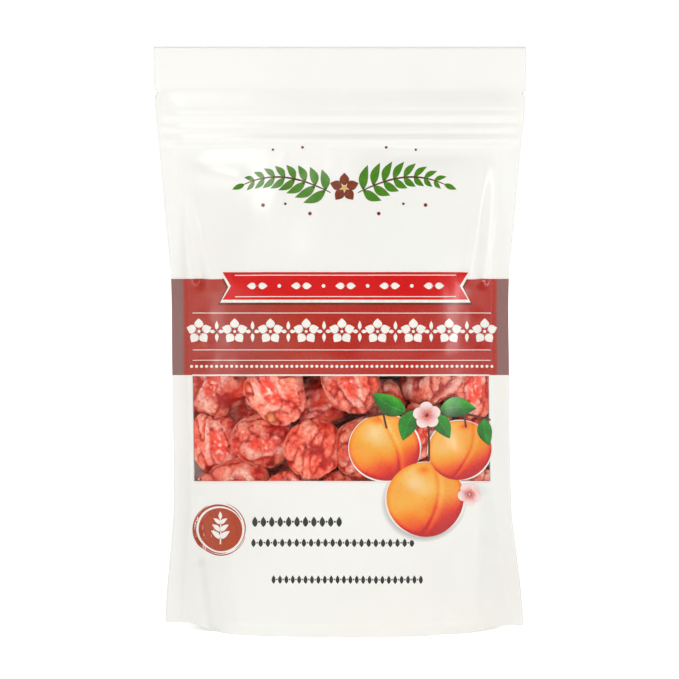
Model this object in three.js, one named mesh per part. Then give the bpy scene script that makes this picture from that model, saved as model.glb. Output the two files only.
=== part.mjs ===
// A stand-up pouch of dried apricots, closed and filled, standing on its opened bottom gusset.
// Two film panels are sealed to each other down both sides and across the top. A folded gusset
// joins their lower ends, a press-to-close zip runs across inside the top, and the front panel
// has a clear window with the fruit lying loose behind it.
// Millimetres, +Z up, the printed front faces -Y, and the origin is under the middle of the base.

import * as THREE from "three";
import { mergeVertices } from "three/addons/utils/BufferGeometryUtils.js";

// Driving dimensions of the pouch.
const FLAT_WIDTH = 150; // across the empty pouch, over both side seals
const HEIGHT = 240; // from the surface it stands on to its top edge
const FILM = 0.5; // drawn thicker than the real laminate of about 0.12
const GAP = 0.3; // between neighbouring pieces
const SIDE_SEAL = 7; // width of the heat seal down each side
const HALF_FLAT = FLAT_WIDTH / 2;
const OPEN_HALF = HALF_FLAT - SIDE_SEAL; // flat distance from the middle to a side seal
const FRONT = -1;
const BACK = 1;

// The filled shape at each height: [height, half width of the outline].
const HALF_WIDTHS = [
  [0, 74.2],
  [15, 73.4],
  [35, 71.3],
  [50, 69.8],
  [75, 69.3],
  [110, 69.1],
  [145, 69.0],
  [170, 70.9],
  [200, 73.3],
  [214, 74.6],
  [226, 75],
  [HEIGHT, 75],
];
// How far the middle of a panel stands out at each height: [height, bulge].
const BULGES = [
  [0, 16],
  [15, 18.2],
  [40, 20],
  [80, 20.5],
  [120, 19.5],
  [150, 16.5],
  [175, 11.5],
  [190, 7.2],
  [199, 3.8],
  [207, 1.4],
  [217, 0],
  [HEIGHT, 0],
];
const BULGE_POWER = 2.8; // above 2 the panel is flatter in the middle and rounder at its sides
const SEAL_HALF = (FILM + GAP) / 2; // middle of a film from the seal's own middle
const CORNER_LIFT = 2; // the bottom corners stand clear of the surface
const CORNER_LIFT_STARTS = 30; // half width of the straight stretch that stands on it
const CORNER_LIFT_HEIGHT = 40;
const FACET_ALLOWANCE = 0.2; // facets cut inside the curve that they stand for
const CREASE_ALLOWANCE = 0.5; // fruit stays this share of a crease's depth further off
const LINE_RISE = 0.1; // the film's cross lines rise towards the middle by this share of the bulge

// The gusset: a web folded up between the panels, opened by the weight of the fruit.
const GUSSET_RISE = 36;
const GUSSET_FLOOR = 5;
const GUSSET_HALF = 65; // flat half width that is free of the side seals
const GUSSET_RIDGE_POWER = 2.6;
const GUSSET_ARCH_POWER = 3;
const GUSSET_COLUMNS = 20;
const GUSSET_ARCH_STEPS = 8;

// The window, in the film's own flat coordinates.
const WINDOW_HALF = 66.5;
const WINDOW_LOW = 61.6;
const WINDOW_HIGH = 105.5;

// Tear notches in both edges, just above the zip.
const NOTCH_HEIGHT = 221.3;
const NOTCH_DEPTH = 2;
const NOTCH_HALF = 1.3;

// The press-to-close zip: a flange bonded inside each panel, with a rib and the groove it fits.
const ZIP_LOW = 202.5;
const ZIP_HIGH = 216;
const ZIP_HALF_LENGTH = 62;
const ZIP_END_TAPER = 3; // the panels close over the zip's ends within this distance
const ZIP_BULGE = 1.7; // the panels stand out by this much over the zip
const ZIP_PROFILE_HEIGHT = 211;
const ZIP_RIDGE = 0.45; // the closed profile and the flange's lower edge show as two low ridges
const ZIP_RIDGE_HEIGHTS = [211.5, 203.5];
const ZIP_RIDGE_HALF = 1.8;

const CREASE_NEEDS_BULGE = 5; // a crease is at its full depth where the film stands out this far
// Creases in the panels: from and to as [x, height], half width, and depth inwards.
const FRONT_CREASES = [
  { from: [-58, 196], to: [-26, 188], half: 6, depth: 1.6 },
  { from: [-63, 180], to: [-55, 148], half: 4.5, depth: 1.8 },
  { from: [64, 196], to: [56, 146], half: 4.5, depth: 1.9 },
  { from: [22, 193], to: [58, 197], half: 5, depth: 1.1 },
  { from: [-60, 14], to: [-50, 46], half: 5, depth: 1.4 },
  { from: [61, 16], to: [53, 44], half: 4.5, depth: 1.2 },
];
const BACK_CREASES = [
  { from: [60, 192], to: [20, 186], half: 6, depth: 1.5 },
  { from: [62, 178], to: [54, 140], half: 4.5, depth: 1.6 },
  { from: [-62, 190], to: [-54, 150], half: 4.5, depth: 1.8 },
  { from: [59, 14], to: [51, 44], half: 4.5, depth: 1.2 },
  { from: [-60, 16], to: [-50, 48], half: 5, depth: 1.3 },
];

// The fruit.
const FRUIT_SEED = 8;
const FRUIT_HALF_SIZES = [12.5, 10.4, 7.4]; // long, middle and short half axes
const FRUIT_SIZE_SPREAD = 0.14;
const FRUIT_DETAIL = 2;
const FRUIT_POWER = 2.3; // 2 would be a true ellipsoid
const PIT_DEPTH = 0.34; // share of the radius that the pit's hollow takes at its middle
const PRESSED = 0.93; // soft fruit is pressed this close to its neighbours, as a share of its size
const PRESSED_ON_FILM = 0.72;
const PILE_TOP = 119;
const SETTLING_STEPS = 260;
const SETTLING_DROP = 0.1; // how far each fruit sinks in a step
const SETTLING_SPREAD = 0.05; // how far it leans towards its own panel
const FRONT_TILT = 0.75; // radians that a fruit's flat side may turn away from the window
// Rows of fruit before they settle: [height, how many across].
const FRONT_ROWS = [
  [15, 5],
  [31, 5],
  [47, 6],
  [64, 7],
  [81, 7],
  [98, 7],
];
const REAR_ROWS = [
  [24, 4],
  [46, 4],
  [68, 4],
  [90, 5],
];
const FRONT_PITCH = 18.4;
const REAR_PITCH = 25;
const LAYER_Y = 9; // of both layers' middles, from the pouch's middle plane

// A smooth curve through [position, value] stations, with level ends.
function through(stations) {
  const slopes = stations.map((station, i) => {
    const before = stations[i - 1];
    const after = stations[i + 1];
    return before && after ? (after[1] - before[1]) / (after[0] - before[0]) : 0;
  });
  return (position) => {
    const last = stations.length - 1;
    if (position <= stations[0][0]) return stations[0][1];
    if (position >= stations[last][0]) return stations[last][1];
    const i = stations.findIndex((station) => station[0] > position) - 1;
    const [x0, y0] = stations[i];
    const [x1, y1] = stations[i + 1];
    const span = x1 - x0;
    const t = (position - x0) / span;
    const t2 = t * t;
    const t3 = t2 * t;
    return (
      y0 * (2 * t3 - 3 * t2 + 1) +
      slopes[i] * span * (t3 - 2 * t2 + t) +
      y1 * (3 * t2 - 2 * t3) +
      slopes[i + 1] * span * (t3 - t2)
    );
  };
}

const halfWidth = through(HALF_WIDTHS);
const bulge = through(BULGES);
const step = THREE.MathUtils.smoothstep;

// Half the width between the side seals at a height.
function openHalf(v) {
  return halfWidth(v) - SIDE_SEAL;
}

// How far the zip and its two ridges push the panels out at a height.
function zipBulge(v) {
  const flange = step(v, ZIP_LOW - 4, ZIP_LOW) * (1 - step(v, ZIP_HIGH, ZIP_HIGH + 3));
  const ridges = ZIP_RIDGE_HEIGHTS.reduce(
    (sum, height) => sum + Math.exp(-(((v - height) / ZIP_RIDGE_HALF) ** 2)),
    0,
  );
  return ZIP_BULGE * flange + ZIP_RIDGE * ridges;
}

// How far the fruit holds either panel out from the side seals' plane.
function filledBulge(x, v) {
  const share = Math.min(1, Math.abs(x) / openHalf(v));
  return bulge(v) * (1 - share ** BULGE_POWER);
}

// How far one panel's creases push it inwards at a point. There are none where the panels meet.
function creased(side, x, v) {
  const inside = step(filledBulge(x, v), 0, CREASE_NEEDS_BULGE);
  const creases = side === FRONT ? FRONT_CREASES : BACK_CREASES;
  return creases.reduce((sum, { from, to, half, depth }) => {
    const along = new THREE.Vector2(to[0] - from[0], to[1] - from[1]);
    const reach = new THREE.Vector2(x - from[0], v - from[1]);
    const t = THREE.MathUtils.clamp(reach.dot(along) / along.lengthSq(), 0, 1);
    const away = reach.sub(along.multiplyScalar(t)).length();
    return sum + inside * depth * Math.exp(-((away / half) ** 2));
  }, 0);
}

// Distance from the pouch's middle plane to the middle of the front or back film.
function wall(side, x, v) {
  const zip = zipBulge(v) * step(openHalf(v) - Math.abs(x), 0, ZIP_END_TAPER);
  return SEAL_HALF + filledBulge(x, v) + zip - creased(side, x, v);
}

// How much further off a piece must stay, measured along y, where the film slants.
function slant(side, x, v) {
  const h = 0.1;
  const across = (wall(side, x + h, v) - wall(side, x - h, v)) / (2 * h);
  const up = (wall(side, x, v + h) - wall(side, x, v - h)) / (2 * h);
  return Math.hypot(1, across, up);
}

// Height of a panel's bottom edge above the surface: level in the middle, lifted at the corners.
function bottomLift(x) {
  return CORNER_LIFT * step(Math.abs(x), CORNER_LIFT_STARTS, HALF_FLAT);
}

// Where a point of the flat film lies on the front or back of the filled pouch.
function onPanel(side, u, v) {
  const open = openHalf(v);
  const flat = Math.abs(u);
  const x = Math.sign(u) * (flat <= OPEN_HALF ? (open * flat) / OPEN_HALF : open + flat - OPEN_HALF);
  const depth = wall(side, x, v);
  const rise = LINE_RISE * (depth - SEAL_HALF) * step(v, 40, 75) * (1 - step(v, 190, 215));
  const lift = bottomLift(x) * (1 - step(v, 0, CORNER_LIFT_HEIGHT));
  return new THREE.Vector3(x, side * depth, v + rise + lift);
}

// The outward normal of a panel there, kept level along its top and bottom edges.
function panelNormal(side, u, v) {
  const h = 0.05;
  const across = onPanel(side, u + h, v).sub(onPanel(side, u - h, v));
  const up = onPanel(side, u, v + h).sub(onPanel(side, u, v - h));
  const normal = across.cross(up).multiplyScalar(-side);
  if (v <= 0 || v >= HEIGHT) normal.z = 0;
  return normal.normalize();
}

// A closed sheet of film over a grid of columns and rows, with its edges walled.
// outer and inner give a grid point's two faces. keep says which cells hold film.
function sheet(columns, rows, outer, inner, keep = () => true) {
  const across = columns.length;
  const positions = [];
  for (const face of [outer, inner])
    for (const v of rows)
      for (const u of columns)
        positions.push(...face(u, v).toArray());
  const index = [];
  const quad = (a, b, c, d) => index.push(a, b, c, a, c, d);
  const inRange = (i, j) => i >= 0 && j >= 0 && i < across - 1 && j < rows.length - 1;
  const filled = (i, j) => inRange(i, j) && keep(columns[i], columns[i + 1], rows[j], rows[j + 1]);
  const under = across * rows.length;
  for (let j = 0; j < rows.length - 1; j++)
    for (let i = 0; i < across - 1; i++) {
      if (!filled(i, j)) continue;
      const a = j * across + i;
      const [b, c, d] = [a + 1, a + 1 + across, a + across];
      quad(a, b, c, d);
      quad(a + under, d + under, c + under, b + under);
      if (!filled(i, j - 1)) quad(b, a, a + under, b + under);
      if (!filled(i, j + 1)) quad(d, c, c + under, d + under);
      if (!filled(i - 1, j)) quad(a, d, d + under, a + under);
      if (!filled(i + 1, j)) quad(c, b, b + under, c + under);
    }
  return closed(positions, index);
}

// An indexed geometry with only the vertices that its faces use.
function closed(positions, index) {
  const geometry = new THREE.BufferGeometry();
  geometry.setAttribute("position", new THREE.Float32BufferAttribute(positions, 3));
  geometry.setIndex(index);
  const tidy = mergeVertices(geometry.toNonIndexed(), 1e-4);
  tidy.computeVertexNormals();
  return tidy;
}

function evenly(from, to, cells) {
  return Array.from({ length: cells + 1 }, (_, i) => from + ((to - from) * i) / cells);
}

// Film between two sets of grid lines on the front or back of the pouch.
function panelSheet(side, columns, rows, keep) {
  const face = (sign) => (u, v) => {
    const point = onPanel(side, u, v);
    const edge = Math.abs(u) === HALF_FLAT && v === NOTCH_HEIGHT;
    point.x -= edge ? Math.sign(u) * NOTCH_DEPTH : 0;
    return point.addScaledVector(panelNormal(side, u, v), (sign * FILM) / 2);
  };
  const ordered = side === FRONT ? columns : [...columns].reverse();
  return sheet(ordered, rows, face(1), face(-1), keep);
}

const ZIP_END_COLUMN = 63.6;
const SEAL_COLUMNS = [-HALF_FLAT, -(OPEN_HALF + HALF_FLAT) / 2, -OPEN_HALF];
const PANEL_COLUMNS = [
  ...SEAL_COLUMNS,
  -WINDOW_HALF,
  ...evenly(-ZIP_END_COLUMN, ZIP_END_COLUMN, 14),
  WINDOW_HALF,
  ...SEAL_COLUMNS.map((u) => -u).reverse(),
];
const PANEL_ROWS = [
  ...[0, 7, 16, 28, 40, 51],
  ...evenly(WINDOW_LOW, WINDOW_HIGH, 4),
  ...[117, 129, 141, 153, 165, 176, 186, 194, 199, ZIP_LOW, 205.5, 209, ZIP_PROFILE_HEIGHT, 213.5],
  ...[ZIP_HIGH, 218.6, NOTCH_HEIGHT - NOTCH_HALF, NOTCH_HEIGHT, NOTCH_HEIGHT + NOTCH_HALF, HEIGHT],
];

function frontPanel() {
  const keep = (u0, u1, v0, v1) =>
    Math.max(Math.abs(u0), Math.abs(u1)) > WINDOW_HALF || v0 < WINDOW_LOW || v1 > WINDOW_HIGH;
  return panelSheet(FRONT, PANEL_COLUMNS, PANEL_ROWS, keep);
}

function windowPane() {
  const columns = evenly(-WINDOW_HALF + GAP, WINDOW_HALF - GAP, 14);
  const rows = evenly(WINDOW_LOW + GAP, WINDOW_HIGH - GAP, 4);
  return panelSheet(FRONT, columns, rows);
}

function backPanel() {
  return panelSheet(BACK, PANEL_COLUMNS, PANEL_ROWS);
}

// Height of the gusset's folded ridge: low in the middle, up to the full fold at the sides.
function gussetRidge(x) {
  const share = Math.min(1, Math.abs(x) / openHalf(GUSSET_RISE));
  return GUSSET_FLOOR + (GUSSET_RISE - GUSSET_FLOOR) * share ** GUSSET_RIDGE_POWER;
}

function ridgeSlant(x) {
  const h = 0.1;
  return Math.hypot(1, (gussetRidge(x + h) - gussetRidge(x - h)) / (2 * h));
}

// The gusset arches from the front panel over its ridge to the back panel.
// u runs across the flat film, and t from -1 at the front's bottom edge to 1 at the back's.
function onGusset(u, t) {
  const share = u / OPEN_HALF;
  const angle = (Math.PI / 2) * (1 - Math.abs(t)) ** 1.5;
  const low = bottomLift(share * openHalf(0));
  const ridge = gussetRidge(share * openHalf(GUSSET_RISE));
  const z = low + (ridge - low) * Math.sin(angle) ** (2 / GUSSET_ARCH_POWER);
  const x = share * openHalf(z);
  const side = t > 0 ? BACK : FRONT;
  const reach = wall(side, x, z) - (FILM + GAP + FACET_ALLOWANCE) * slant(side, x, z);
  return new THREE.Vector3(x, Math.sign(t) * reach * Math.cos(angle) ** (2 / GUSSET_ARCH_POWER), z);
}

// Upward normal of the gusset, kept level where it meets the surface below.
function gussetNormal(u, t) {
  const h = 0.002;
  const across = onGusset(u + 0.05, t).sub(onGusset(u - 0.05, t));
  const along = onGusset(u, Math.min(1, t + h)).sub(onGusset(u, Math.max(-1, t - h)));
  const normal = across.cross(along);
  if (Math.abs(t) === 1) normal.z = 0;
  return normal.normalize();
}

// The gusset's sheet, with its columns closer together towards the steeper sides.
function gusset() {
  const columns = evenly(-1, 1, GUSSET_COLUMNS).map((c) => GUSSET_HALF * c * (1.12 - 0.12 * c * c));
  const steps = evenly(-1, 1, 2 * GUSSET_ARCH_STEPS);
  const face = (sign) => (u, t) =>
    onGusset(u, t).addScaledVector(gussetNormal(u, t), (sign * FILM) / 2);
  return sheet(columns, steps, face(1), face(-1));
}

// One half of the zip, drawn in the (y, z) plane and run along x.
function zipStrip(side, profile) {
  const shape = new THREE.Shape(profile.map(([y, z]) => new THREE.Vector2(side * y, z)));
  const geometry = new THREE.ExtrudeGeometry(shape, { depth: 2 * ZIP_HALF_LENGTH, bevelEnabled: false });
  geometry.translate(0, 0, -ZIP_HALF_LENGTH);
  geometry.applyMatrix4(
    new THREE.Matrix4().makeBasis(
      new THREE.Vector3(0, 1, 0),
      new THREE.Vector3(0, 0, 1),
      new THREE.Vector3(1, 0, 0),
    ),
  );
  geometry.deleteAttribute("normal");
  geometry.deleteAttribute("uv");
  return mergeVertices(geometry, 1e-4);
}

// Distance from the middle plane to a zip flange's outer and inner faces.
const ZIP_OUTER = SEAL_HALF + ZIP_BULGE - FILM / 2 - GAP;
const ZIP_INNER = ZIP_OUTER - FILM;

// The groove: a flange with two jaws whose lips close behind the rib's head.
function zipGroove() {
  const mid = ZIP_PROFILE_HEIGHT;
  return zipStrip(FRONT, [
    [ZIP_OUTER, ZIP_LOW],
    [ZIP_OUTER, ZIP_HIGH],
    [ZIP_INNER, ZIP_HIGH],
    [ZIP_INNER, mid + 1.9],
    [-0.5, mid + 1.9],
    [-0.5, mid + 0.75],
    [-0.1, mid + 0.75],
    [-0.1, mid + 1.25],
    [ZIP_INNER, mid + 1.25],
    [ZIP_INNER, mid - 1.25],
    [-0.1, mid - 1.25],
    [-0.1, mid - 0.75],
    [-0.5, mid - 0.75],
    [-0.5, mid - 1.9],
    [ZIP_INNER, mid - 1.9],
    [ZIP_INNER, ZIP_LOW],
  ]);
}

// The rib: a flange with a stem and a head that is wider than the stem.
function zipRib() {
  const mid = ZIP_PROFILE_HEIGHT;
  return zipStrip(BACK, [
    [ZIP_OUTER, ZIP_LOW],
    [ZIP_OUTER, ZIP_HIGH],
    [ZIP_INNER, ZIP_HIGH],
    [ZIP_INNER, mid + 0.4],
    [-0.2, mid + 0.4],
    [-0.2, mid + 0.9],
    [-0.45, mid + 0.9],
    [-0.45, mid - 0.9],
    [-0.2, mid - 0.9],
    [-0.2, mid - 0.4],
    [ZIP_INNER, mid - 0.4],
    [ZIP_INNER, ZIP_LOW],
  ]);
}

// Repeatable random numbers from 0 to 1.
function seeded(seed) {
  let state = seed;
  return () => {
    state = (state + 0x6d2b79f5) | 0;
    let t = Math.imul(state ^ (state >>> 15), 1 | state);
    t = (t + Math.imul(t ^ (t >>> 7), 61 | t)) ^ t;
    return ((t ^ (t >>> 14)) >>> 0) / 4294967296;
  };
}

// The room for fruit at a point: how far it is inside the film and above the gusset.
function roomAt(point) {
  const side = point.y > 0 ? BACK : FRONT;
  const crease = CREASE_ALLOWANCE * creased(side, point.x, point.z);
  const off = (FILM / 2 + GAP + FACET_ALLOWANCE) * slant(side, point.x, point.z) + crease;
  return {
    depth: wall(side, point.x, point.z) - off - Math.abs(point.y),
    floor: point.z - gussetRidge(point.x) - (FILM / 2 + GAP) * ridgeSlant(point.x),
  };
}

// A fruit's half thickness along a unit direction.
function supportOf(fruit, direction) {
  const local = direction.clone().applyQuaternion(fruit.turn.clone().invert());
  return Math.hypot(...fruit.half.map((size, i) => size * local.getComponent(i)));
}

// Fruit in rows, a layer behind the front panel and a layer behind that. Each fruit lies with a
// flat side forwards or backwards, spun at random and then tipped.
function looseFruit(random) {
  const fruits = [];
  const addRow = (z, count, pitch, y, tilt) => {
    for (let i = 0; i < count; i++) {
      const scale = 1 + FRUIT_SIZE_SPREAD * (2 * random() - 1);
      const axis = new THREE.Vector3(random() - 0.5, 0, random() - 0.5).normalize();
      const lie = new THREE.Quaternion().setFromUnitVectors(
        new THREE.Vector3(0, 0, random() < 0.75 ? 1 : -1),
        new THREE.Vector3(0, -1, 0),
      );
      const spin = new THREE.Quaternion().setFromAxisAngle(
        new THREE.Vector3(0, 0, 1),
        2 * Math.PI * random(),
      );
      const tip = new THREE.Quaternion().setFromAxisAngle(axis, tilt * (2 * random() - 1));
      fruits.push({
        at: new THREE.Vector3(
          (i - (count - 1) / 2) * pitch + 3 * (random() - 0.5),
          y + 2 * (random() - 0.5),
          z + 3 * (random() - 0.5),
        ),
        turn: tip.multiply(lie).multiply(spin),
        half: FRUIT_HALF_SIZES.map((size) => size * scale * (1 + 0.08 * (random() - 0.5))),
        waves: Array.from({ length: 4 }, () => 2 * Math.PI * random()),
        side: Math.sign(y),
      });
    }
  };
  FRONT_ROWS.forEach(([z, count]) => addRow(z, count, FRONT_PITCH, -LAYER_Y, FRONT_TILT));
  REAR_ROWS.forEach(([z, count]) => addRow(z, count, REAR_PITCH, LAYER_Y, Math.PI / 2));
  return fruits;
}

// Pushes two fruits apart along the line between them until they no longer meet.
function separate(a, b) {
  const line = b.at.clone().sub(a.at);
  const distance = line.length();
  line.divideScalar(distance);
  const overlap = PRESSED * (supportOf(a, line) + supportOf(b, line)) + GAP - distance;
  if (overlap <= 0) return;
  a.at.addScaledVector(line, -overlap / 2);
  b.at.addScaledVector(line, overlap / 2);
}

// Pushes a fruit back inside the film, above the gusset and under the pile's top.
function contain(fruit) {
  const h = 0.1;
  const at = fruit.at;
  const side = at.y > 0 ? BACK : FRONT;
  const slope = (dx, dz) => {
    const here = wall(side, at.x - dx, at.z - dz);
    return (wall(side, at.x + dx, at.z + dz) - here) / (2 * h);
  };
  const inward = new THREE.Vector3(slope(h, 0), -side, slope(0, h));
  const steepness = inward.length();
  inward.divideScalar(steepness);
  const short = PRESSED_ON_FILM * supportOf(fruit, inward) - roomAt(at).depth / steepness;
  if (short > 0) at.addScaledVector(inward, short);
  const up = new THREE.Vector3(0, 0, 1);
  const low = PRESSED * supportOf(fruit, up) - roomAt(at).floor;
  if (low > 0) at.z += low;
  at.z = Math.min(at.z, PILE_TOP - supportOf(fruit, up));
}

// Lets the fruit sink, lean on the film and push each other aside until the pile is still.
function settle(fruits) {
  for (let n = 0; n < SETTLING_STEPS; n++) {
    for (const fruit of fruits) {
      fruit.at.z -= SETTLING_DROP;
      fruit.at.y += fruit.side * SETTLING_SPREAD;
    }
    for (let pass = 0; pass < 3; pass++) {
      fruits.forEach((a, i) => fruits.slice(i + 1).forEach((b) => separate(a, b)));
      fruits.forEach(contain);
    }
  }
  return fruits;
}

// Radius of a fruit in a unit direction of its own axes: a plump, creased oval with a hollow
// on one flat side where the stone was pressed out.
function fruitRadius(fruit, d) {
  const shares = fruit.half.map((size, i) => Math.abs(d.getComponent(i) / size) ** FRUIT_POWER);
  const base = (shares[0] + shares[1] + shares[2]) ** (-1 / FRUIT_POWER);
  const around = Math.atan2(d.y, d.x);
  const rim = 1 - d.z * d.z;
  const [w0, w1, w2, w3] = fruit.waves;
  const lumps = 0.055 * Math.sin(3 * around + w0) + 0.04 * Math.sin(5 * around + w1 + 2 * d.z);
  const folds = 0.03 * Math.sin(7 * d.x + w2) + 0.03 * Math.sin(8 * d.y + w3);
  const pit = d.z > 0 ? PIT_DEPTH * Math.exp(-((d.x / 0.5) ** 2) - (d.y / 0.38) ** 2) : 0;
  return base * (1 + rim * lumps + folds) * (1 - pit);
}

// A fruit's mesh. Where it meets a neighbour or the film it is pressed flat, with a gap left.
function fruitGeometry(fruit, neighbours) {
  const geometry = new THREE.IcosahedronGeometry(1, FRUIT_DETAIL);
  geometry.deleteAttribute("normal");
  geometry.deleteAttribute("uv");
  const ball = mergeVertices(geometry, 1e-4);
  const position = ball.getAttribute("position");
  const direction = new THREE.Vector3();
  for (let i = 0; i < position.count; i++) {
    direction.fromBufferAttribute(position, i).normalize();
    let radius = fruitRadius(fruit, direction);
    direction.applyQuaternion(fruit.turn);
    for (const { line, limit } of neighbours) {
      const facing = direction.dot(line);
      if (facing > 1e-6) radius = Math.min(radius, limit / facing);
    }
    const outside = (r) => {
      const room = roomAt(fruit.at.clone().addScaledVector(direction, r));
      return Math.min(room.depth, room.floor) < 0;
    };
    if (outside(radius)) {
      let [inner, outer] = [0, radius];
      for (let n = 0; n < 20; n++) {
        const middle = (inner + outer) / 2;
        if (outside(middle)) outer = middle;
        else inner = middle;
      }
      radius = inner;
    }
    direction.multiplyScalar(radius);
    position.setXYZ(i, direction.x, direction.y, direction.z);
  }
  ball.computeVertexNormals();
  return ball;
}

// The flat faces that a fruit's neighbours press on it: a direction and how far the face is.
function pressedFaces(fruit, fruits) {
  return fruits
    .filter((other) => other !== fruit)
    .map((other) => {
      const line = other.at.clone().sub(fruit.at);
      const distance = line.length();
      line.divideScalar(distance);
      const own = supportOf(fruit, line);
      const share = own / (own + supportOf(other, line));
      return { line, limit: distance * share - GAP / 2 };
    });
}

function material(color, roughness, metalness = 0) {
  return new THREE.MeshStandardMaterial({ color, roughness, metalness });
}

const film = material(0xf5f4ef, 0.35);
const clearFilm = material(0xe9eef0, 0.1);
clearFilm.transparent = true;
clearFilm.opacity = 0.25;
const zipPlastic = material(0xf2f2ee, 0.4);
const fruitSkin = material(0xcf6a57, 0.55);

const pouch = new THREE.Group();

function add(name, geometry, finish, at = new THREE.Vector3()) {
  const mesh = new THREE.Mesh(geometry, finish);
  mesh.name = name;
  mesh.position.copy(at);
  pouch.add(mesh);
}

add("front_panel", frontPanel(), film);
add("window", windowPane(), clearFilm);
add("back_panel", backPanel(), film);
add("bottom_gusset", gusset(), film);
add("zip_groove", zipGroove(), zipPlastic);
add("zip_rib", zipRib(), zipPlastic);

const pile = settle(looseFruit(seeded(FRUIT_SEED)));
pile.forEach((fruit, i) => {
  const name = "dried_apricot_" + String(i + 1).padStart(2, "0");
  add(name, fruitGeometry(fruit, pressedFaces(fruit, pile)), fruitSkin, fruit.at);
});

export default pouch;
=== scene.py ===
# Looks for a filled stand-up pouch of dried apricots. Shapes are worked out in millimetres, in the
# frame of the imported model, and turned into metres where each mesh is made. The film's surface
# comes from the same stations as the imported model's, with finer creases, ripples and seal marks.

import itertools
import math
from types import SimpleNamespace

import bmesh
import bpy
import numpy as np
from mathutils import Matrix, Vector
from mathutils.bvhtree import BVHTree


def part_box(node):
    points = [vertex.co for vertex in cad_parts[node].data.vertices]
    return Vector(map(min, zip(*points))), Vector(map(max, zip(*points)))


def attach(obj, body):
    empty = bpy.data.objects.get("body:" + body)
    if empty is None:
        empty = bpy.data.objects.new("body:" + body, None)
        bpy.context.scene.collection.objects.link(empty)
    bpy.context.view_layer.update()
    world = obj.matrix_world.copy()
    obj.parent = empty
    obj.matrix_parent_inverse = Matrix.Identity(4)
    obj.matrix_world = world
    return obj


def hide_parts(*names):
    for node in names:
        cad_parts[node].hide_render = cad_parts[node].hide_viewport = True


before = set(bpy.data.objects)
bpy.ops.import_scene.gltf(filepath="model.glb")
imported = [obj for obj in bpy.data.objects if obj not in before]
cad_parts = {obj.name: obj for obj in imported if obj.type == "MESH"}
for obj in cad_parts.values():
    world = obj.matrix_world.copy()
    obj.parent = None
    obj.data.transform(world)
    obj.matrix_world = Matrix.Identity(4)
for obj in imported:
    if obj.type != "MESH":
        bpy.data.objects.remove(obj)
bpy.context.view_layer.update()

MM = 0.001
FRONT, BACK = -1, 1

# The pouch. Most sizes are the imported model's. The lean, the corners' lift, the zip's relief and the
# window's height are set closer to the photograph.
HALF_FLAT = 75.0
HEIGHT = 240.0
SIDE_SEAL = 7.0
OPEN_HALF = HALF_FLAT - SIDE_SEAL
HALF_WIDTHS = [(0, 74.2), (15, 73.4), (35, 71.3), (50, 69.8), (75, 69.3), (110, 69.1), (145, 69.0),
               (170, 70.9), (200, 73.3), (214, 74.6), (226, 75), (HEIGHT, 75)]
BULGES = [(0, 16), (15, 18.2), (40, 20), (80, 20.5), (120, 19.5), (150, 16.5), (175, 11.5),
          (190, 7.2), (199, 3.8), (207, 1.4), (217, 0), (HEIGHT, 0)]
BULGE_POWER = 2.8
CORNER_LIFT_LEFT, CORNER_LIFT_RIGHT = 2.7, 1.3
CORNER_LIFT_STARTS, CORNER_LIFT_ENDS, CORNER_LIFT_HEIGHT = 51.0, 65.0, 40.0
LEAN = [(0, 1.0), (50, 0.35), (100, -0.4), (140, -0.75), (HEIGHT, -0.75)]
LEVEL_RISE, LEVEL_RISE_BY_HEIGHT, LEVEL_HEIGHT = 0.1228, 0.00098, 122.0
GUSSET_RISE, GUSSET_FLOOR, GUSSET_HALF = 36.0, 5.0, 65.7
GUSSET_RIDGE_POWER, GUSSET_ARCH_POWER = 2.6, 3.0
GUSSET_GAP, GUSSET_GAP_ABOVE_SEAL, GUSSET_SEAL_TOP = 0.1, 0.55, (3.5, 9)
GUSSET_LEAST_REACH, GUSSET_DIMPLE, GUSSET_SAG, GUSSET_MIDDLE_HEIGHT = 0.02, 0.3, 0.35, 20
GUSSET_HALF_ROWS = 36
WINDOW_HALF, WINDOW_LOW, WINDOW_HIGH = 66.5, 62.0, 106.2
NOTCH_HEIGHT, NOTCH_DEPTH, NOTCH_HALF = 221.3, 2.0, 1.3
ZIP_LOW, ZIP_HIGH, ZIP_BULGE = 202.5, 216.0, 1.85
ZIP_RIDGES = [(215.6, 0.1, 0.5), (212.4, 0.45, 1.5), (209.4, -0.2, 0.6), (207.3, 0.25, 1.0),
              (205.1, -0.2, 0.55), (202.9, 0.3, 0.9), (200.6, -0.2, 0.55)]  # height, out, half

# The film as it is seen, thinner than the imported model's.
FILM = 0.24
SEAL_HALF = 0.14
INK = 0.03  # each layer of print stands this far off the one below, so that it covers it
FINE = 1.0  # the film's grid
NORMAL_STEP = 0.12


def through(stations):
    """A smooth curve through (position, value) stations, for arrays."""
    xs, ys = (np.array(column, float) for column in zip(*stations))
    slopes = np.zeros(len(xs))
    slopes[1:-1] = (ys[2:] - ys[:-2]) / (xs[2:] - xs[:-2])

    def curve(position):
        p = np.clip(np.asarray(position, float), xs[0], xs[-1])
        i = np.clip(np.searchsorted(xs, p, side="right") - 1, 0, len(xs) - 2)
        span = xs[i + 1] - xs[i]
        t = (p - xs[i]) / span
        rise = ys[i] * (2 * t**3 - 3 * t**2 + 1) + ys[i + 1] * (3 * t**2 - 2 * t**3)
        return rise + span * (slopes[i] * (t**3 - 2 * t**2 + t) + slopes[i + 1] * (t**3 - t**2))

    return curve


half_width = through(HALF_WIDTHS)
bulge = through(BULGES)
lean = through(LEAN)  # the filled pouch leans a little to one side


def step(x, low, high):
    """0 below low, 1 above high and smooth between."""
    t = np.clip((np.asarray(x, float) - low) / (high - low), 0, 1)
    return t * t * (3 - 2 * t)


def bell(distance, half):
    """1 at no distance, and fading either way over about the half width."""
    return np.exp(-((distance / half) ** 2))


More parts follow.
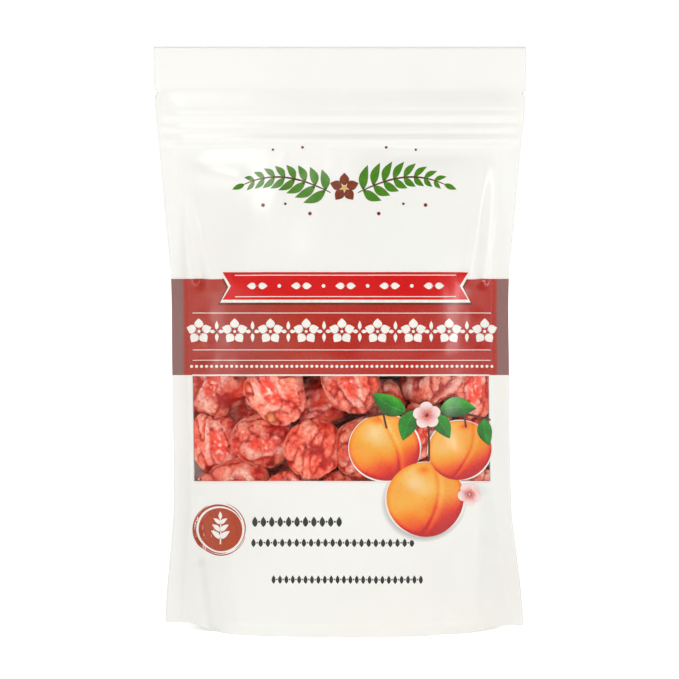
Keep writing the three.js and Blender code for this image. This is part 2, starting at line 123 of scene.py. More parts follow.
def perlin(seed):
    """Smooth noise in three dimensions, from about -1 to 1, over an array of points."""
    rng = np.random.default_rng(seed)
    order = rng.permutation(256)
    slopes = rng.normal(size=(256, 3))
    slopes /= np.linalg.norm(slopes, axis=1)[:, None]

    def noise(points):
        p = np.asarray(points, float)
        cell = np.floor(p).astype(int)
        f = p - cell
        w = f**3 * (f * (f * 6 - 15) + 10)
        total = np.zeros(p.shape[:-1])
        for corner in itertools.product((0, 1), repeat=3):
            c = (cell + corner) & 255
            h = order[(order[(order[c[..., 0]] + c[..., 1]) & 255] + c[..., 2]) & 255]
            weight = np.prod(np.where(corner, w, 1 - w), axis=-1)
            total += weight * ((f - corner) * slopes[h]).sum(-1)
        return 1.6 * total

    return noise


film_noise = perlin(4)
fruit_noise = perlin(9)


def field(noise, *coordinates):
    """Noise over two or three coordinate arrays."""
    parts = np.broadcast_arrays(*coordinates, *([0.5] * (3 - len(coordinates))))
    return noise(np.stack(parts, -1))


# Creases of the film: from, to, half width, and how far out (or in, if negative), in (x, height).
CREASES = {
    FRONT: [
        ((-62, 191), (-42, 188), 4.5, 1.3),
        ((-66, 180), (-57, 146), 2.4, -1.8),
        ((-59, 176), (-52, 146), 3.0, 1.4),
        ((-28, 182), (-41, 146), 8.0, 0.7),
        ((65, 193), (59, 145), 2.0, -1.7),
        ((60, 192), (53, 147), 3.0, 1.7),
        ((22, 195), (60, 197), 2.6, -0.6),
        ((-58, 44), (-53, 2), 3.2, -1.9),
        ((-47, 38), (-44, 4), 4.5, 0.7),
        ((-61, 58), (-60, 16), 2.4, 0.7),
        ((46, 58), (41, 3), 5.0, -1.0),
        ((56, 56), (54, 8), 3.2, 1.0),
        ((-20, 24), (-24, 2), 8.0, -0.5),
        ((14, 30), (10, 2), 9.0, 0.5),
        ((-62, 132), (-54, 121), 3.0, -0.6),
        ((63, 134), (57, 119), 2.6, -0.6),
    ],
    BACK: [
        ((60, 190), (24, 185), 6.0, 0.9),
        ((64, 178), (54, 140), 2.6, -1.5),
        ((-64, 190), (-56, 148), 3.0, -1.0),
        ((-20, 184), (8, 150), 9.0, 0.7),
        ((57, 38), (51, 4), 3.4, -1.2),
        ((-58, 42), (-50, 4), 3.6, -1.2),
        ((30, 120), (58, 96), 3.2, -0.6),
        ((-56, 118), (-30, 130), 3.4, -0.6),
    ],
}
SEAL_ARC = [(0, 47.5), (6, 51), (14, 54), (24, 56.5), (33, 60), (38, 67)]  # height, half width
seal_arc = through(SEAL_ARC)
BASE_SEAL_TOP, CORNER_SEAL_TOP = (4.2, 5.4), (36, 39)
SEAL_MARK, SEAL_MARK_BULGE = 0.22, 1.5
LOOSE_BULGE = 4.5  # the film's relief is full where the film stands out this far
FRUIT_ENDS, AIR_STARTS = 108, 132

# Waves of the film: how far out, their sizes across and up, and their place in the noise.
OVER_FRUIT, OVER_AIR = (0.42, 13, 12, 0.5), (0.5, 30, 24, 3.3)
FINE_WAVES = (0.07, 4.5, 5.5, 7.7)
SIDE_SHIFT = 17.0  # keeps the noise of the two films apart
RIPPLE, RIPPLE_PITCH, RIPPLE_FROM_SEAL, RIPPLE_HALF = 0.22, 10.5, 4.5, 4.2
RIPPLE_STARTS, RIPPLE_ENDS = (8, 30), (150, 190)
HEADER_WAVE, HEADER_WAVE_LENGTH, HEADER_WAVE_PHASE, HEADER_LEAN = 0.9, 31, 0.8, 0.5


def line_distance(x, v, start, end):
    """How far points are from a straight line between two ends."""
    ax, av = end[0] - start[0], end[1] - start[1]
    t = np.clip(((x - start[0]) * ax + (v - start[1]) * av) / (ax * ax + av * av), 0, 1)
    return np.hypot(x - start[0] - t * ax, v - start[1] - t * av)


def filled_bulge(x, v):
    share = np.minimum(1, np.abs(x) / (half_width(v) - SIDE_SEAL))
    return bulge(v) * (1 - share**BULGE_POWER)


def film_waves(side, x, v, out, across, up, place):
    return out * field(film_noise, x / across + SIDE_SHIFT * side, v / up, place)


def side_ripples(side, x, v):
    """Small ripples along the side seals."""
    inner = half_width(v) - SIDE_SEAL - np.abs(x)
    phase = 2.2 * field(film_noise, v / 17 + SIDE_SHIFT * side, np.sign(x) * 2.0 + 0.3)
    ripple = np.sin(2 * math.pi * v / RIPPLE_PITCH + phase) * bell(inner - RIPPLE_FROM_SEAL, RIPPLE_HALF)
    return RIPPLE * ripple * step(v, *RIPPLE_STARTS) * (1 - step(v, *RIPPLE_ENDS))


def zip_relief(x, v):
    """The film over the zip and its ridges, flatter in the side seals and closed at the edges."""
    over_zip = step(v, ZIP_LOW - 3.5, ZIP_LOW) * (1 - step(v, ZIP_HIGH - 0.5, ZIP_HIGH + 8.0))
    from_edge = half_width(v) - np.abs(x)
    through_seals = 0.3 * step(from_edge, 0.3, 2.6) + 0.7 * step(from_edge, 2, 11.5)
    ridges = sum(stands * bell(v - height, half) for height, stands, half in ZIP_RIDGES)
    return (ZIP_BULGE * over_zip + ridges) * through_seals


def relief(side, x, v):
    """Creases, ripples, lumps over the fruit and seal marks, as millimetres outwards."""
    full = filled_bulge(x, v)
    out = sum(depth * bell(line_distance(x, v, a, b), half) for a, b, half, depth in CREASES[side])
    over_fruit = 1 - step(v, FRUIT_ENDS, AIR_STARTS)
    out = out + over_fruit * film_waves(side, x, v, *OVER_FRUIT)
    out = out + (1 - over_fruit) * film_waves(side, x, v, *OVER_AIR)
    out = out + film_waves(side, x, v, *FINE_WAVES) + side_ripples(side, x, v)
    out = out * step(full, 0, LOOSE_BULGE) + zip_relief(x, v)
    corner = step(np.abs(x) - seal_arc(v), -0.5, 0.5) * (1 - step(v, *CORNER_SEAL_TOP))
    base = 1 - step(v, *BASE_SEAL_TOP)
    return out - SEAL_MARK * np.maximum(corner, base) * step(full, 0, SEAL_MARK_BULGE)


def header_sway(u, v):
    """The flat top leans a little to and fro. Both films move together."""
    wave = HEADER_WAVE * np.sin(u / HEADER_WAVE_LENGTH + HEADER_WAVE_PHASE)
    return wave * step(v, 217, 242) + HEADER_LEAN * step(v, 225, 260)


def film_points(side, u, v):
    """The middle of the film at flat coordinates u across and v up, as an array of points."""
    u, v = np.broadcast_arrays(np.asarray(u, float), np.asarray(v, float))
    opened = half_width(v) - SIDE_SEAL
    flat = np.abs(u)
    across = np.where(flat <= OPEN_HALF, opened * flat / OPEN_HALF, opened + flat - OPEN_HALF)
    x = np.sign(u) * across
    full = filled_bulge(x, v)
    depth = SEAL_HALF + np.maximum(full + relief(side, x, v), 0)
    return np.stack([x + lean(v), side * depth + header_sway(u, v), v + raised(x, v)], -1)


def raised(x, v):
    """How far a level line of print climbs, over the bulge and towards the lower corners."""
    rise = LEVEL_RISE + LEVEL_RISE_BY_HEIGHT * (LEVEL_HEIGHT - v)
    rise = rise * filled_bulge(x, v) * step(v, 2, 24) * (1 - step(v, 190, 215))
    return rise + corner_lift(x) * (1 - step(v, 0, CORNER_LIFT_HEIGHT))


def corner_lift(x):
    """How far the sealed lower corners stand off the ground."""
    lift = np.where(np.asarray(x) < 0, CORNER_LIFT_LEFT, CORNER_LIFT_RIGHT)
    return lift * step(np.abs(x), CORNER_LIFT_STARTS, CORNER_LIFT_ENDS)


def flat_across(x, v):
    """The film's flat coordinate across, for a place across that is v up the film."""
    opened = half_width(v) - SIDE_SEAL
    flat = np.abs(x)
    return np.sign(x) * np.where(flat <= opened, flat * OPEN_HALF / opened, OPEN_HALF + flat - opened)


def flat_place(x, z):
    """The film's flat coordinates at a place across and a height."""
    x = x - lean(z)
    v = z
    for _ in range(4):
        v = z - raised(x, v)
    return flat_across(x, v), np.maximum(v, 0)


def film_normals(side, u, v):
    h = NORMAL_STEP
    across = film_points(side, u + h, v) - film_points(side, u - h, v)
    up = film_points(side, u, v + h) - film_points(side, u, v - h)
    normal = -side * np.cross(across, up)
    ends = (np.asarray(v) <= 0) | (np.asarray(v) >= HEIGHT)
    normal[..., 2] = np.where(ends, 0, normal[..., 2])
    return normal / np.linalg.norm(normal, axis=-1)[..., None]


# Meshes.

def add_object(name, data):
    thing = bpy.data.objects.new(name, data)
    bpy.context.scene.collection.objects.link(thing)
    return thing


def finish_piece(name, points, faces, material, slot, stands_for=()):
    """A smooth mesh object from points in millimetres, riding on the one body."""
    mesh = bpy.data.meshes.new(name)
    mesh.from_pydata((np.asarray(points) * MM).tolist(), [], [list(map(int, f)) for f in faces])
    mesh.materials.append(material)
    mesh.polygons.foreach_set("use_smooth", [True] * len(mesh.polygons))
    mesh.validate()
    piece = add_object(name, mesh)
    if stands_for:
        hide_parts(*stands_for)
    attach(piece, "root")
    return piece


def paint(piece, name, colours):
    """Stores a colour for each vertex, in linear light."""
    layer = piece.data.attributes.new(name, "FLOAT_COLOR", "POINT")
    rgba = np.ones((len(colours), 4), np.float32)
    rgba[:, :3] = colours
    layer.data.foreach_set("color", rgba.ravel())


def lines(*stretches):
    """Grid lines over stretches of (start, end, spacing)."""
    out = [stretches[0][0]]
    for start, end, spacing in stretches:
        cells = max(1, round((end - start) / spacing))
        out += [start + (end - start) * (i + 1) / cells for i in range(cells)]
    return np.array(out)


def closed_sheet(outer, inner, keep=None):
    """Points and faces of a sheet with two faces and walled edges, from grids of both faces."""
    up, across = outer.shape[:2]
    if keep is None:
        keep = np.ones((up - 1, across - 1), bool)
    points = np.concatenate([outer.reshape(-1, 3), inner.reshape(-1, 3)])
    under = across * up
    faces = []
    for j in range(up - 1):
        for i in range(across - 1):
            if not keep[j, i]:
                continue
            a = j * across + i
            b, c, d = a + 1, a + 1 + across, a + across
            faces.append((a, b, c, d))
            faces.append((a + under, d + under, c + under, b + under))
            for at_end, beyond, p, q in (
                (j == 0, (j - 1, i), b, a),
                (j == up - 2, (j + 1, i), d, c),
                (i == 0, (j, i - 1), a, d),
                (i == across - 2, (j, i + 1), c, b),
            ):
                if at_end or not keep[beyond]:
                    faces.append((p, q, q + under, p + under))
    used = np.unique(np.array(faces))
    place = np.full(len(points), -1)
    place[used] = np.arange(len(used))
    return points[used], place[np.array(faces)]


def film_sheet(side, columns, rows, keep=None):
    """A closed sheet of film over a grid of flat coordinates, with the tear notches in its edges."""
    u, v = np.meshgrid(columns, rows)
    middle = film_points(side, u, v)
    notch = 1 - np.minimum(1, np.abs(v - NOTCH_HEIGHT) / NOTCH_HALF)
    middle[..., 0] -= np.where(np.abs(u) == HALF_FLAT, np.sign(u) * NOTCH_DEPTH * notch, 0)
    out = film_normals(side, u, v) * (FILM / 2)
    outer, inner = middle + out, middle - out
    if side == BACK:
        outer, inner = outer[:, ::-1], inner[:, ::-1]
    return closed_sheet(outer, inner, keep)


# Materials.

def srgb(r, g, b):
    """Linear colour of an 8-bit one."""
    c = np.array([r, g, b], float) / 255
    return tuple(np.where(c <= 0.04045, c / 12.92, ((c + 0.055) / 1.055) ** 2.4))


def blend(first, second, share):
    """Colours between two, by a share that has a last axis for the colour."""
    return np.asarray(first) * (1 - share) + np.asarray(second) * share


class Nodes:
    """Shorthand for building the nodes of a material or a world."""

    def __init__(self, owner):
        owner.use_nodes = True
        self.owner, self.tree = owner, owner.node_tree
        self.coordinates = None

    def fill(self, node, sockets):
        """Gives sockets, by their names or places, a link or a value."""
        for key, value in sockets.items():
            socket = node.inputs[key]
            if isinstance(value, bpy.types.NodeSocket):
                self.tree.links.new(value, socket)
            elif socket.type == "RGBA":
                socket.default_value = (*value, 1)
            else:
                socket.default_value = value
        return node

    def add(self, kind, sockets, **settings):
        node = self.tree.nodes.new(kind)
        for key, value in settings.items():
            setattr(node, key, value)
        return self.fill(node, sockets)

    def place(self):
        if self.coordinates is None:
            self.coordinates = self.add("ShaderNodeTexCoord", {}).outputs["Object"]
        return self.coordinates

    def noise(self, per_metre, detail=3.0, roughness=0.55, stretch=(1, 1, 1)):
        place = self.add("ShaderNodeMapping", {"Vector": self.place(), "Scale": stretch}).outputs["Vector"]
        sockets = {"Vector": place, "Scale": per_metre, "Detail": detail, "Roughness": roughness}
        return self.add("ShaderNodeTexNoise", sockets).outputs["Fac"]

    def remap(self, value, low, high, to_low=0.0, to_high=1.0):
        sockets = {"Value": value, "From Min": low, "From Max": high, "To Min": to_low, "To Max": to_high}
        return self.add("ShaderNodeMapRange", sockets).outputs["Result"]

    def math(self, operation, first, second):
        return self.add("ShaderNodeMath", {0: first, 1: second}, operation=operation).outputs["Value"]

    def mix(self, factor, first, second, way="MIX"):
        """Two colours mixed. The colours are sockets 6 and 7, and output 2."""
        sockets = {0: factor, 6: first, 7: second}
        return self.add("ShaderNodeMix", sockets, data_type="RGBA", blend_type=way).outputs[2]

    def bump(self, height, distance, strength=1.0, after=None):
        sockets = {"Height": height, "Distance": distance, "Strength": strength}
        if after is not None:
            sockets["Normal"] = after
        return self.add("ShaderNodeBump", sockets).outputs["Normal"]

    def stored(self, name):
        """A colour that is stored on the mesh."""
        return self.add("ShaderNodeAttribute", {}, attribute_name=name).outputs["Color"]

    def show(self, share, first, second):
        """Shows a mix of two shaders."""
        both = self.add("ShaderNodeMixShader", {0: share, 1: first.outputs[0], 2: second.outputs[0]})
        kind = "World" if isinstance(self.owner, bpy.types.World) else "Material"
        self.fill(self.tree.nodes[kind + " Output"], {"Surface": both.outputs["Shader"]})

    def set(self, **values):
        """Fills the material's own shader, with _ for a space in a name."""
        sockets = {key.replace("_", " "): value for key, value in values.items()}
        self.fill(self.tree.nodes["Principled BSDF"], sockets)
        return self.owner


def material(name):
    return Nodes(bpy.data.materials.new(name))


FILM_GLOSS = 0.2
CLEAR_FILM_GLOSS, CLEAR_FILM_LEAST = 0.09, 0.0035  # roughness, and the share mirrored face on
GLANCE_POWER = 5.0  # how fast the mirrored share grows towards a glancing look


def film_finish(n, colour):
    """Gloss and faint waviness that the white and printed film share."""
    wave = n.bump(n.noise(75, 1.0, stretch=(1, 1, 0.6)), 0.0006, 0.5)
    rough = n.remap(n.noise(60, 1.0), 0.3, 0.7, FILM_GLOSS - 0.015, FILM_GLOSS + 0.025)
    return n.set(Base_Color=colour, Roughness=rough, Normal=wave, IOR=1.45)


def white_film():
    n = material("white_laminate")
    cloud = n.remap(n.noise(26, 2.0), 0.3, 0.7)
    return film_finish(n, n.mix(cloud, srgb(230, 230, 226), srgb(229, 227, 221)))


def inner_film():
    n = material("white_laminate_inside")
    colour = n.mix(n.noise(60, 2.0), srgb(222, 218, 210), srgb(230, 226, 220))
    return n.set(Base_Color=colour, Roughness=0.45, Normal=n.bump(n.noise(300), 0.0001, 0.3))


def clear_film():
    """Thin clear film: see-through, and glossier at a glance, alike from both of its faces."""
    n = material("clear_window_film")
    wave = n.bump(n.noise(95, 2.0), 0.0004, 0.6)
    seen_through = n.add("ShaderNodeBsdfTransparent", {"Color": (0.985, 0.985, 0.985)})
    sockets = {"Color": (1, 1, 1), "Roughness": CLEAR_FILM_GLOSS, "Normal": wave}
    gloss = n.add("ShaderNodeBsdfGlossy", sockets)
    slant = n.add("ShaderNodeLayerWeight", {"Blend": 0.5, "Normal": wave}).outputs["Facing"]
    glance = n.math("POWER", slant, GLANCE_POWER)
    n.show(n.remap(glance, 0.0, 1.0, CLEAR_FILM_LEAST, 1.0), seen_through, gloss)
    n.tree.nodes.remove(n.tree.nodes["Principled BSDF"])
    return n.owner


INK_LIGHT, INK_SHINE, DARKEST_INK = 1.17, 0.036, 0.003
CREAM = (255, 250, 240)
INKS = {  # the colour as it is seen, and the one that mottles it
    "shade": ((122, 66, 56), (130, 72, 60)),
    "cream": (CREAM, (246, 238, 226)),
    "ribbon": ((222, 48, 51), (216, 44, 47)),
    "white": (CREAM, (248, 244, 238)),
    "leaf": ((86, 138, 48), (98, 144, 62)),
    "stem": ((104, 70, 42), (116, 84, 56)),
    "blossom": ((128, 66, 36), (140, 78, 46)),
    "eye": ((236, 196, 120), (226, 184, 104)),
    "terracotta": ((188, 84, 42), (180, 77, 38)),
    "grey": ((66, 66, 64), (76, 76, 73)),
    "picture_edge": (CREAM, (250, 244, 236)),
    "twig": ((96, 58, 26), (112, 72, 36)),
    "line": ((252, 240, 234), (246, 232, 224)),
}


def albedo(seen):
    """What looks like a linear colour in the scene's light, which brightens it and adds a shine."""
    return np.clip((np.asarray(seen) - INK_SHINE) / INK_LIGHT, DARKEST_INK, 1)


def flat_ink(name):
    """Ink of one colour with the slight mottle of a printed solid."""
    n = material(name + "_ink")
    colour, worn = (tuple(albedo(srgb(*c))) for c in INKS[name])
    mottle = n.remap(n.noise(500, 1.0), 0.35, 0.65)
    return film_finish(n, n.mix(mottle, colour, worn))


def painted_ink(name):
    """Ink whose colour is stored on the mesh."""
    n = material(name)
    grain = n.remap(n.noise(1500, 1.0), 0.3, 0.7, 0.0, 0.03)
    return film_finish(n, n.mix(grain, n.stored("ink"), (0.7, 0.5, 0.4)))


def zip_plastic():
    n = material("milky_zip_plastic")
    colour = n.mix(n.noise(80), srgb(225, 225, 220), srgb(238, 238, 234))
    rough = n.remap(n.noise(300), 0.3, 0.7, 0.3, 0.42)
    grain = n.bump(n.noise(500, stretch=(0.1, 1, 1)), 0.00008, 0.4)
    return n.set(Base_Color=colour, Roughness=rough, Normal=grain, Subsurface_Weight=0.1)


def dried_flesh():
    """Moist, wrinkled flesh. The mesh stores its own colour, and the nodes add grain and shine."""
    n = material("dried_apricot_flesh")
    stored = n.stored("flesh")
    fibres = n.remap(n.noise(900, 5.0, 0.65), 0.38, 0.62)
    shade = n.mix(fibres, (0.86, 0.68, 0.62), (1.18, 1.22, 1.22))
    colour = n.mix(1.0, stored, shade, "MULTIPLY")
    bloom = n.remap(n.noise(330, 4.0, 0.6), 0.54, 0.70, 0.0, 0.42)
    brightness = n.add("ShaderNodeRGBToBW", {"Color": stored}).outputs["Val"]
    bloom = n.math("MULTIPLY", bloom, n.remap(brightness, 0.1, 0.34))
    colour = n.mix(bloom, colour, srgb(250, 204, 188))
    normal = n.bump(n.noise(1300, 4.0), 0.00022, 0.55, after=n.bump(n.noise(380, 3.0), 0.0005, 0.5))
    n.set(Base_Color=colour, Normal=normal, IOR=1.32, Coat_Weight=0.05, Coat_Roughness=0.2)
    n.set(Subsurface_Weight=0.32, Subsurface_Scale=0.0016, Subsurface_Radius=(1.0, 0.32, 0.18))
    return n.set(Roughness=n.remap(n.noise(520, 3.0), 0.35, 0.65, 0.26, 0.5))


# The film pieces.

COLUMNS = lines(
    (-HALF_FLAT, -OPEN_HALF, 0.9),
    (-OPEN_HALF, -WINDOW_HALF, 0.5),
    (-WINDOW_HALF, WINDOW_HALF, FINE),
    (WINDOW_HALF, OPEN_HALF, 0.5),
    (OPEN_HALF, HALF_FLAT, 0.9),
)
ROWS = lines(
    (0, 6, 0.6),
    (6, WINDOW_LOW, FINE),
    (WINDOW_LOW, WINDOW_HIGH, FINE),
    (WINDOW_HIGH, 197, FINE),
    (197, NOTCH_HEIGHT - NOTCH_HALF, 0.5),
    (NOTCH_HEIGHT - NOTCH_HALF, NOTCH_HEIGHT, 0.65),
    (NOTCH_HEIGHT, NOTCH_HEIGHT + NOTCH_HALF, 0.65),
    (NOTCH_HEIGHT + NOTCH_HALF, HEIGHT, 1.3),
)
TINY = 1e-6


def in_window(columns, rows):
    """Which columns and which rows of the film's grid are in the window."""
    return np.abs(columns) < WINDOW_HALF + TINY, (rows > WINDOW_LOW - TINY) & (rows < WINDOW_HIGH + TINY)


def panels():
    """The front film with an opening, the clear film in the opening, and the back film."""
    across, up = in_window((COLUMNS[1:] + COLUMNS[:-1]) / 2, (ROWS[1:] + ROWS[:-1]) / 2)
    front = film_sheet(FRONT, COLUMNS, ROWS, ~(across[None] & up[:, None]))
    white = white_film()
    finish_piece("front_film", *front, white, "film", ["front_panel"])
    across, up = in_window(COLUMNS, ROWS)
    window = film_sheet(FRONT, COLUMNS[across], ROWS[up])
    finish_piece("window_film", *window, clear_film(), "clear_film", ["window"])
    back = film_sheet(BACK, COLUMNS, ROWS)
    finish_piece("back_film", *back, white, "film", ["back_panel"])


def gusset_ridge(share):
    """The height of the gusset's ridge, at a share of the way from its middle to a side seal."""
    return GUSSET_FLOOR + (GUSSET_RISE - GUSSET_FLOOR) * np.abs(share) ** GUSSET_RIDGE_POWER


def gusset_points(u, t):
    """The opened gusset: sealed to both panels along its lower edges, arched up between them."""
    share = u / OPEN_HALF
    angle = math.pi / 2 * (1 - np.abs(t)) ** 1.5
    over = np.sin(angle)
    low = corner_lift(share * (half_width(0) - SIDE_SEAL))
    z = low + (gusset_ridge(share) - low) * over ** (2 / GUSSET_ARCH_POWER)
    x = share * (half_width(z) - SIDE_SEAL)
    side = np.where(t > 0, BACK, FRONT)
    place = flat_place(x + lean(z), z)
    walls = [side * film_points(side, *place)[..., 1] for side in (FRONT, BACK)]
    slopes = [1 / np.abs(film_normals(side, *place)[..., 1]) for side in (FRONT, BACK)]
    wall = np.where(t > 0, walls[1], walls[0])
    slope = np.where(t > 0, slopes[1], slopes[0])
    gap = FILM + GUSSET_GAP + GUSSET_GAP_ABOVE_SEAL * step(z, *GUSSET_SEAL_TOP)
    reach = np.maximum(wall - gap * slope, GUSSET_LEAST_REACH)
    waves = field(film_noise, x / 11, z / 9, 5.1) - 1
    dimple = GUSSET_DIMPLE * waves * over * step(reach, 1, 6)
    y = side * reach * np.cos(angle) ** (2 / GUSSET_ARCH_POWER)
    y = np.where(np.abs(t) < TINY, 0, y)
    return np.stack([x + lean(z), y, z + dimple - GUSSET_SAG * over], -1)


def gusset_top(x, y, wall):
    """The height of the opened gusset over a place between two walls at -wall and wall."""
    share = np.minimum(1, np.abs(x) / (half_width(GUSSET_MIDDLE_HEIGHT) - SIDE_SEAL))
    across = np.minimum(1, np.abs(y) / np.maximum(wall, 1))
    arch = (1 - across**GUSSET_ARCH_POWER) ** (1 / GUSSET_ARCH_POWER)
    return gusset_ridge(share) * arch


def gusset_film():
    columns = COLUMNS[np.abs(COLUMNS) < GUSSET_HALF]
    u, t = np.meshgrid(columns, lines((-1, 0, 1 / GUSSET_HALF_ROWS), (0, 1, 1 / GUSSET_HALF_ROWS)))
    middle = gusset_points(u, t)
    across = gusset_points(u + 0.1, t) - gusset_points(u - 0.1, t)
    along = gusset_points(u, np.minimum(t + 0.004, 1)) - gusset_points(u, np.maximum(t - 0.004, -1))
    normal = np.cross(across, along)
    normal[..., 2] = np.where(np.abs(t) == 1, 0, normal[..., 2])
    out = normal / np.linalg.norm(normal, axis=-1)[..., None] * (FILM / 2)
    points, faces = closed_sheet(middle + out, middle - out)
    finish_piece("gusset_film", points, faces, inner_film(), "film", ["bottom_gusset"])


# Print. Each shape is a grid that is laid on the front film.

LEAF_FULLNESS = 0.85
FIVE_WAYS = [math.pi / 2 + k * 2 * math.pi / 5 for k in range(5)]


class Print:
    """Shapes printed in one pass, given as seen from the front or, if not seen, on the flat film."""

    def __init__(self, layer, seen=True):
        self.layer, self.seen = layer, seen
        self.u, self.v, self.faces, self.colours = [], [], [], []

    def grid(self, u, v, colours=None, wrap=False):
        """A grid of places, closed on itself across if wrap is set."""
        start = sum(len(part) for part in self.u)
        rows, columns = u.shape
        self.u.append(u.ravel())
        self.v.append(v.ravel())
        if colours is not None:
            self.colours.append(colours.reshape(-1, 3))
        for j in range(rows - 1):
            for i in range(columns if wrap else columns - 1):
                a, b = start + j * columns + i, start + j * columns + (i + 1) % columns
                self.faces.append((a, b, b + columns, a + columns))

    def strip(self, left, right, steps, across=2):
        """Between two curves, each a function from 0 to 1 giving (u, v)."""
        t = np.linspace(0, 1, steps + 1)[:, None]
        s = np.linspace(0, 1, across + 1)[None]
        lu, lv = left(t)
        ru, rv = right(t)
        self.grid(lu + (ru - lu) * s, lv + (rv - lv) * s)

    def box(self, u0, v0, u1, v1, spacing=1.5):
        u, v = np.meshgrid(lines((u0, u1, spacing)), lines((v0, v1, spacing)))
        self.grid(u, v)

    def disc(self, u, v, radius, spokes=14, rings=1):
        r = np.linspace(0.02, 1, rings + 1)[:, None] * radius
        a = np.linspace(0, 2 * math.pi, spokes, endpoint=False)[None]
        self.grid(u + r * np.cos(a), v + r * np.sin(a), wrap=True)

    def leaf(self, u, v, length, width, angle, bend=0.0, steps=12):
        """A pointed leaf from its stalk at (u, v), pointing along angle."""
        ca, sa = math.cos(angle), math.sin(angle)

        def edge(sign):
            def curve(t):
                along = length * t
                half = width / 2 * np.sin(math.pi * t**LEAF_FULLNESS)
                off = sign * half + bend * length * np.sin(math.pi * t)
                return u + along * ca - off * sa, v + along * sa + off * ca
            return curve

        self.strip(edge(-1), edge(1), steps)

    def ray(self, u, v, out, length, width, angle, steps=12):
        """A leaf that points away from (u, v) and starts a little way out."""
        start = u + out * math.cos(angle), v + out * math.sin(angle)
        self.leaf(*start, length, width, angle, steps=steps)

    def stroke(self, path, width, steps=40, taper=0.0):
        """A line along a path from 0 to 1, thinner at its ends by taper."""
        def side(sign):
            def curve(t):
                pu, pv = path(t)
                qu, qv = path(t + 1e-3)
                run = np.hypot(qu - pu, qv - pv)
                half = sign * width / 2 * (1 - taper * (2 * t - 1) ** 2)
                return pu - half * (qv - pv) / run, pv + half * (qu - pu) / run
            return curve

        self.strip(side(-1), side(1), steps, across=1)

    def lay(self, name, material):
        u, v = np.concatenate(self.u), np.concatenate(self.v)
        if self.seen:
            u = flat_across(u / (1 + LEVEL_RISE_BY_HEIGHT * filled_bulge(u, v)) - lean(v), v)
        off = FILM / 2 + INK * self.layer
        points = film_points(FRONT, u, v) + film_normals(FRONT, u, v) * off
        corner = points[np.array(self.faces)]
        turn = np.cross(corner[:, 1] - corner[:, 0], corner[:, 3] - corner[:, 0])[:, 1]
        faces = [f if y <= 0 else f[::-1] for f, y in zip(self.faces, turn)]
        piece = finish_piece(name, points, faces, material, "film")
        if self.colours:
            paint(piece, "ink", albedo(np.concatenate(self.colours)))


BAND_LOW, BAND_HIGH = WINDOW_HIGH, 145.9
GREY_STARTS, GREY_ENDS = 69.4, 70.8
RIBBON_LEFT, RIBBON_RIGHT, RIBBON_LOW, RIBBON_HIGH, RIBBON_NOTCH = -48.6, 51.5, 137.3, 148.6, 3.4
FRIEZE_HEIGHT, FRIEZE_PITCH, FRIEZE_LINES, LINE_HALF = 124.2, 14.6, (112.3, 116.6, 131.8), 0.14
BEAD_HEIGHT, BEAD_PITCH = 109.8, 2.05
SPRIG_MIDDLE, SPRIG_FLOWER_HEIGHT = 1.0, 183.0
BADGE, BADGE_RADIUS = (-50.6, 42.0), 9.1

# Dots: across from the middle, height, radius. Arcs: start, turn, radius, width. Rows: left, right,
# height, size.
SPRIG_DOTS = [(14, 172.5, 0.75), (24, 176.5, 0.55), (33, 176, 0.75), (17, 199.5, 0.6), (29, 198.5, 0.5)]
BADGE_ARCS = [(0.4, 4.6, 9.8, 1.0), (2.0, 4.0, 10.7, 0.6), (-0.9, 2.2, 10.5, 0.45)]
MARK_ROWS = [(-37.6, 0.6, 45.0, 4.4), (-38.0, 30.4, 36.2, 3.6), (-29.6, 34.0, 20.9, 3.2)]


def band():
    """The dark red band right across. It is greyer over the side seals, partly from the seal under the ink
    and partly as painted shade, and has a painted reflection on its left.
    """
    p = Print(1, seen=False)
    u, v = np.meshgrid(COLUMNS, lines((BAND_LOW, BAND_HIGH, 1.0)))
    # Greyer over the side seals: partly the seal under the ink and partly painted shade.
    edge = step(np.abs(u), GREY_STARTS, GREY_ENDS)[..., None]
    # Painted reflection: a soft greyish patch on the left of the band, where the film's gloss would show.
    painted_reflection = (0.55 * bell(u + 42, 22) * bell(v - 122, 40))[..., None]
    main = blend(srgb(186, 62, 50), srgb(171, 90, 84), painted_reflection)
    p.grid(u, v, blend(main, srgb(150, 112, 108), edge))
    p.lay("print_band", painted_ink("band_ink"))


def ribbon_ends(grow, top):
    """Both notched ends of the ribbon, grown all round and cut at a share of its height."""
    low, high = RIBBON_LOW - grow * 1.15, RIBBON_HIGH + grow * 0.4

    def end(edge, sign):
        def curve(t):
            notch = RIBBON_NOTCH * (1 - np.abs(2 * top * t - 1))
            return edge + sign * notch, low + (high - low) * top * t
        return curve

    return end(RIBBON_LEFT - grow, 1), end(RIBBON_RIGHT + grow, -1)


def ribbon(white_ink):
    """The ribbon over the band's top edge, on a pale edge and a shade, with a plain ornament."""
    shade_top = (BAND_HIGH - RIBBON_LOW) / (RIBBON_HIGH - RIBBON_LOW)
    for layer, name, ink, grow, top in (
        (2, "print_ribbon_shade", "shade", 1.9, shade_top),
        (3, "print_ribbon_edge", "cream", 1.05, 1.0),
        (4, "print_ribbon", "ribbon", 0.0, 1.0),
    ):
        p = Print(layer)
        p.strip(*ribbon_ends(grow, top), 16, across=100)
        p.lay(name, flat_ink(ink))
    p = Print(5)
    middle = (RIBBON_LOW + RIBBON_HIGH) / 2
    for k in range(-4, 5):
        centre = 1.5 + k * 9.0
        if k % 2:
            p.disc(centre, middle, 0.75)
        else:
            p.ray(centre, middle, 0.3, 3.9, 2.7, math.pi, steps=10)
            p.ray(centre, middle, 0.3, 3.9, 2.7, 0.0, steps=10)
    for v in (middle - 4.4, middle + 4.4):
        p.box(-43.5, v - 0.16, 46.5, v + 0.16, 2.0)
    p.lay("print_ribbon_ornament", white_ink)


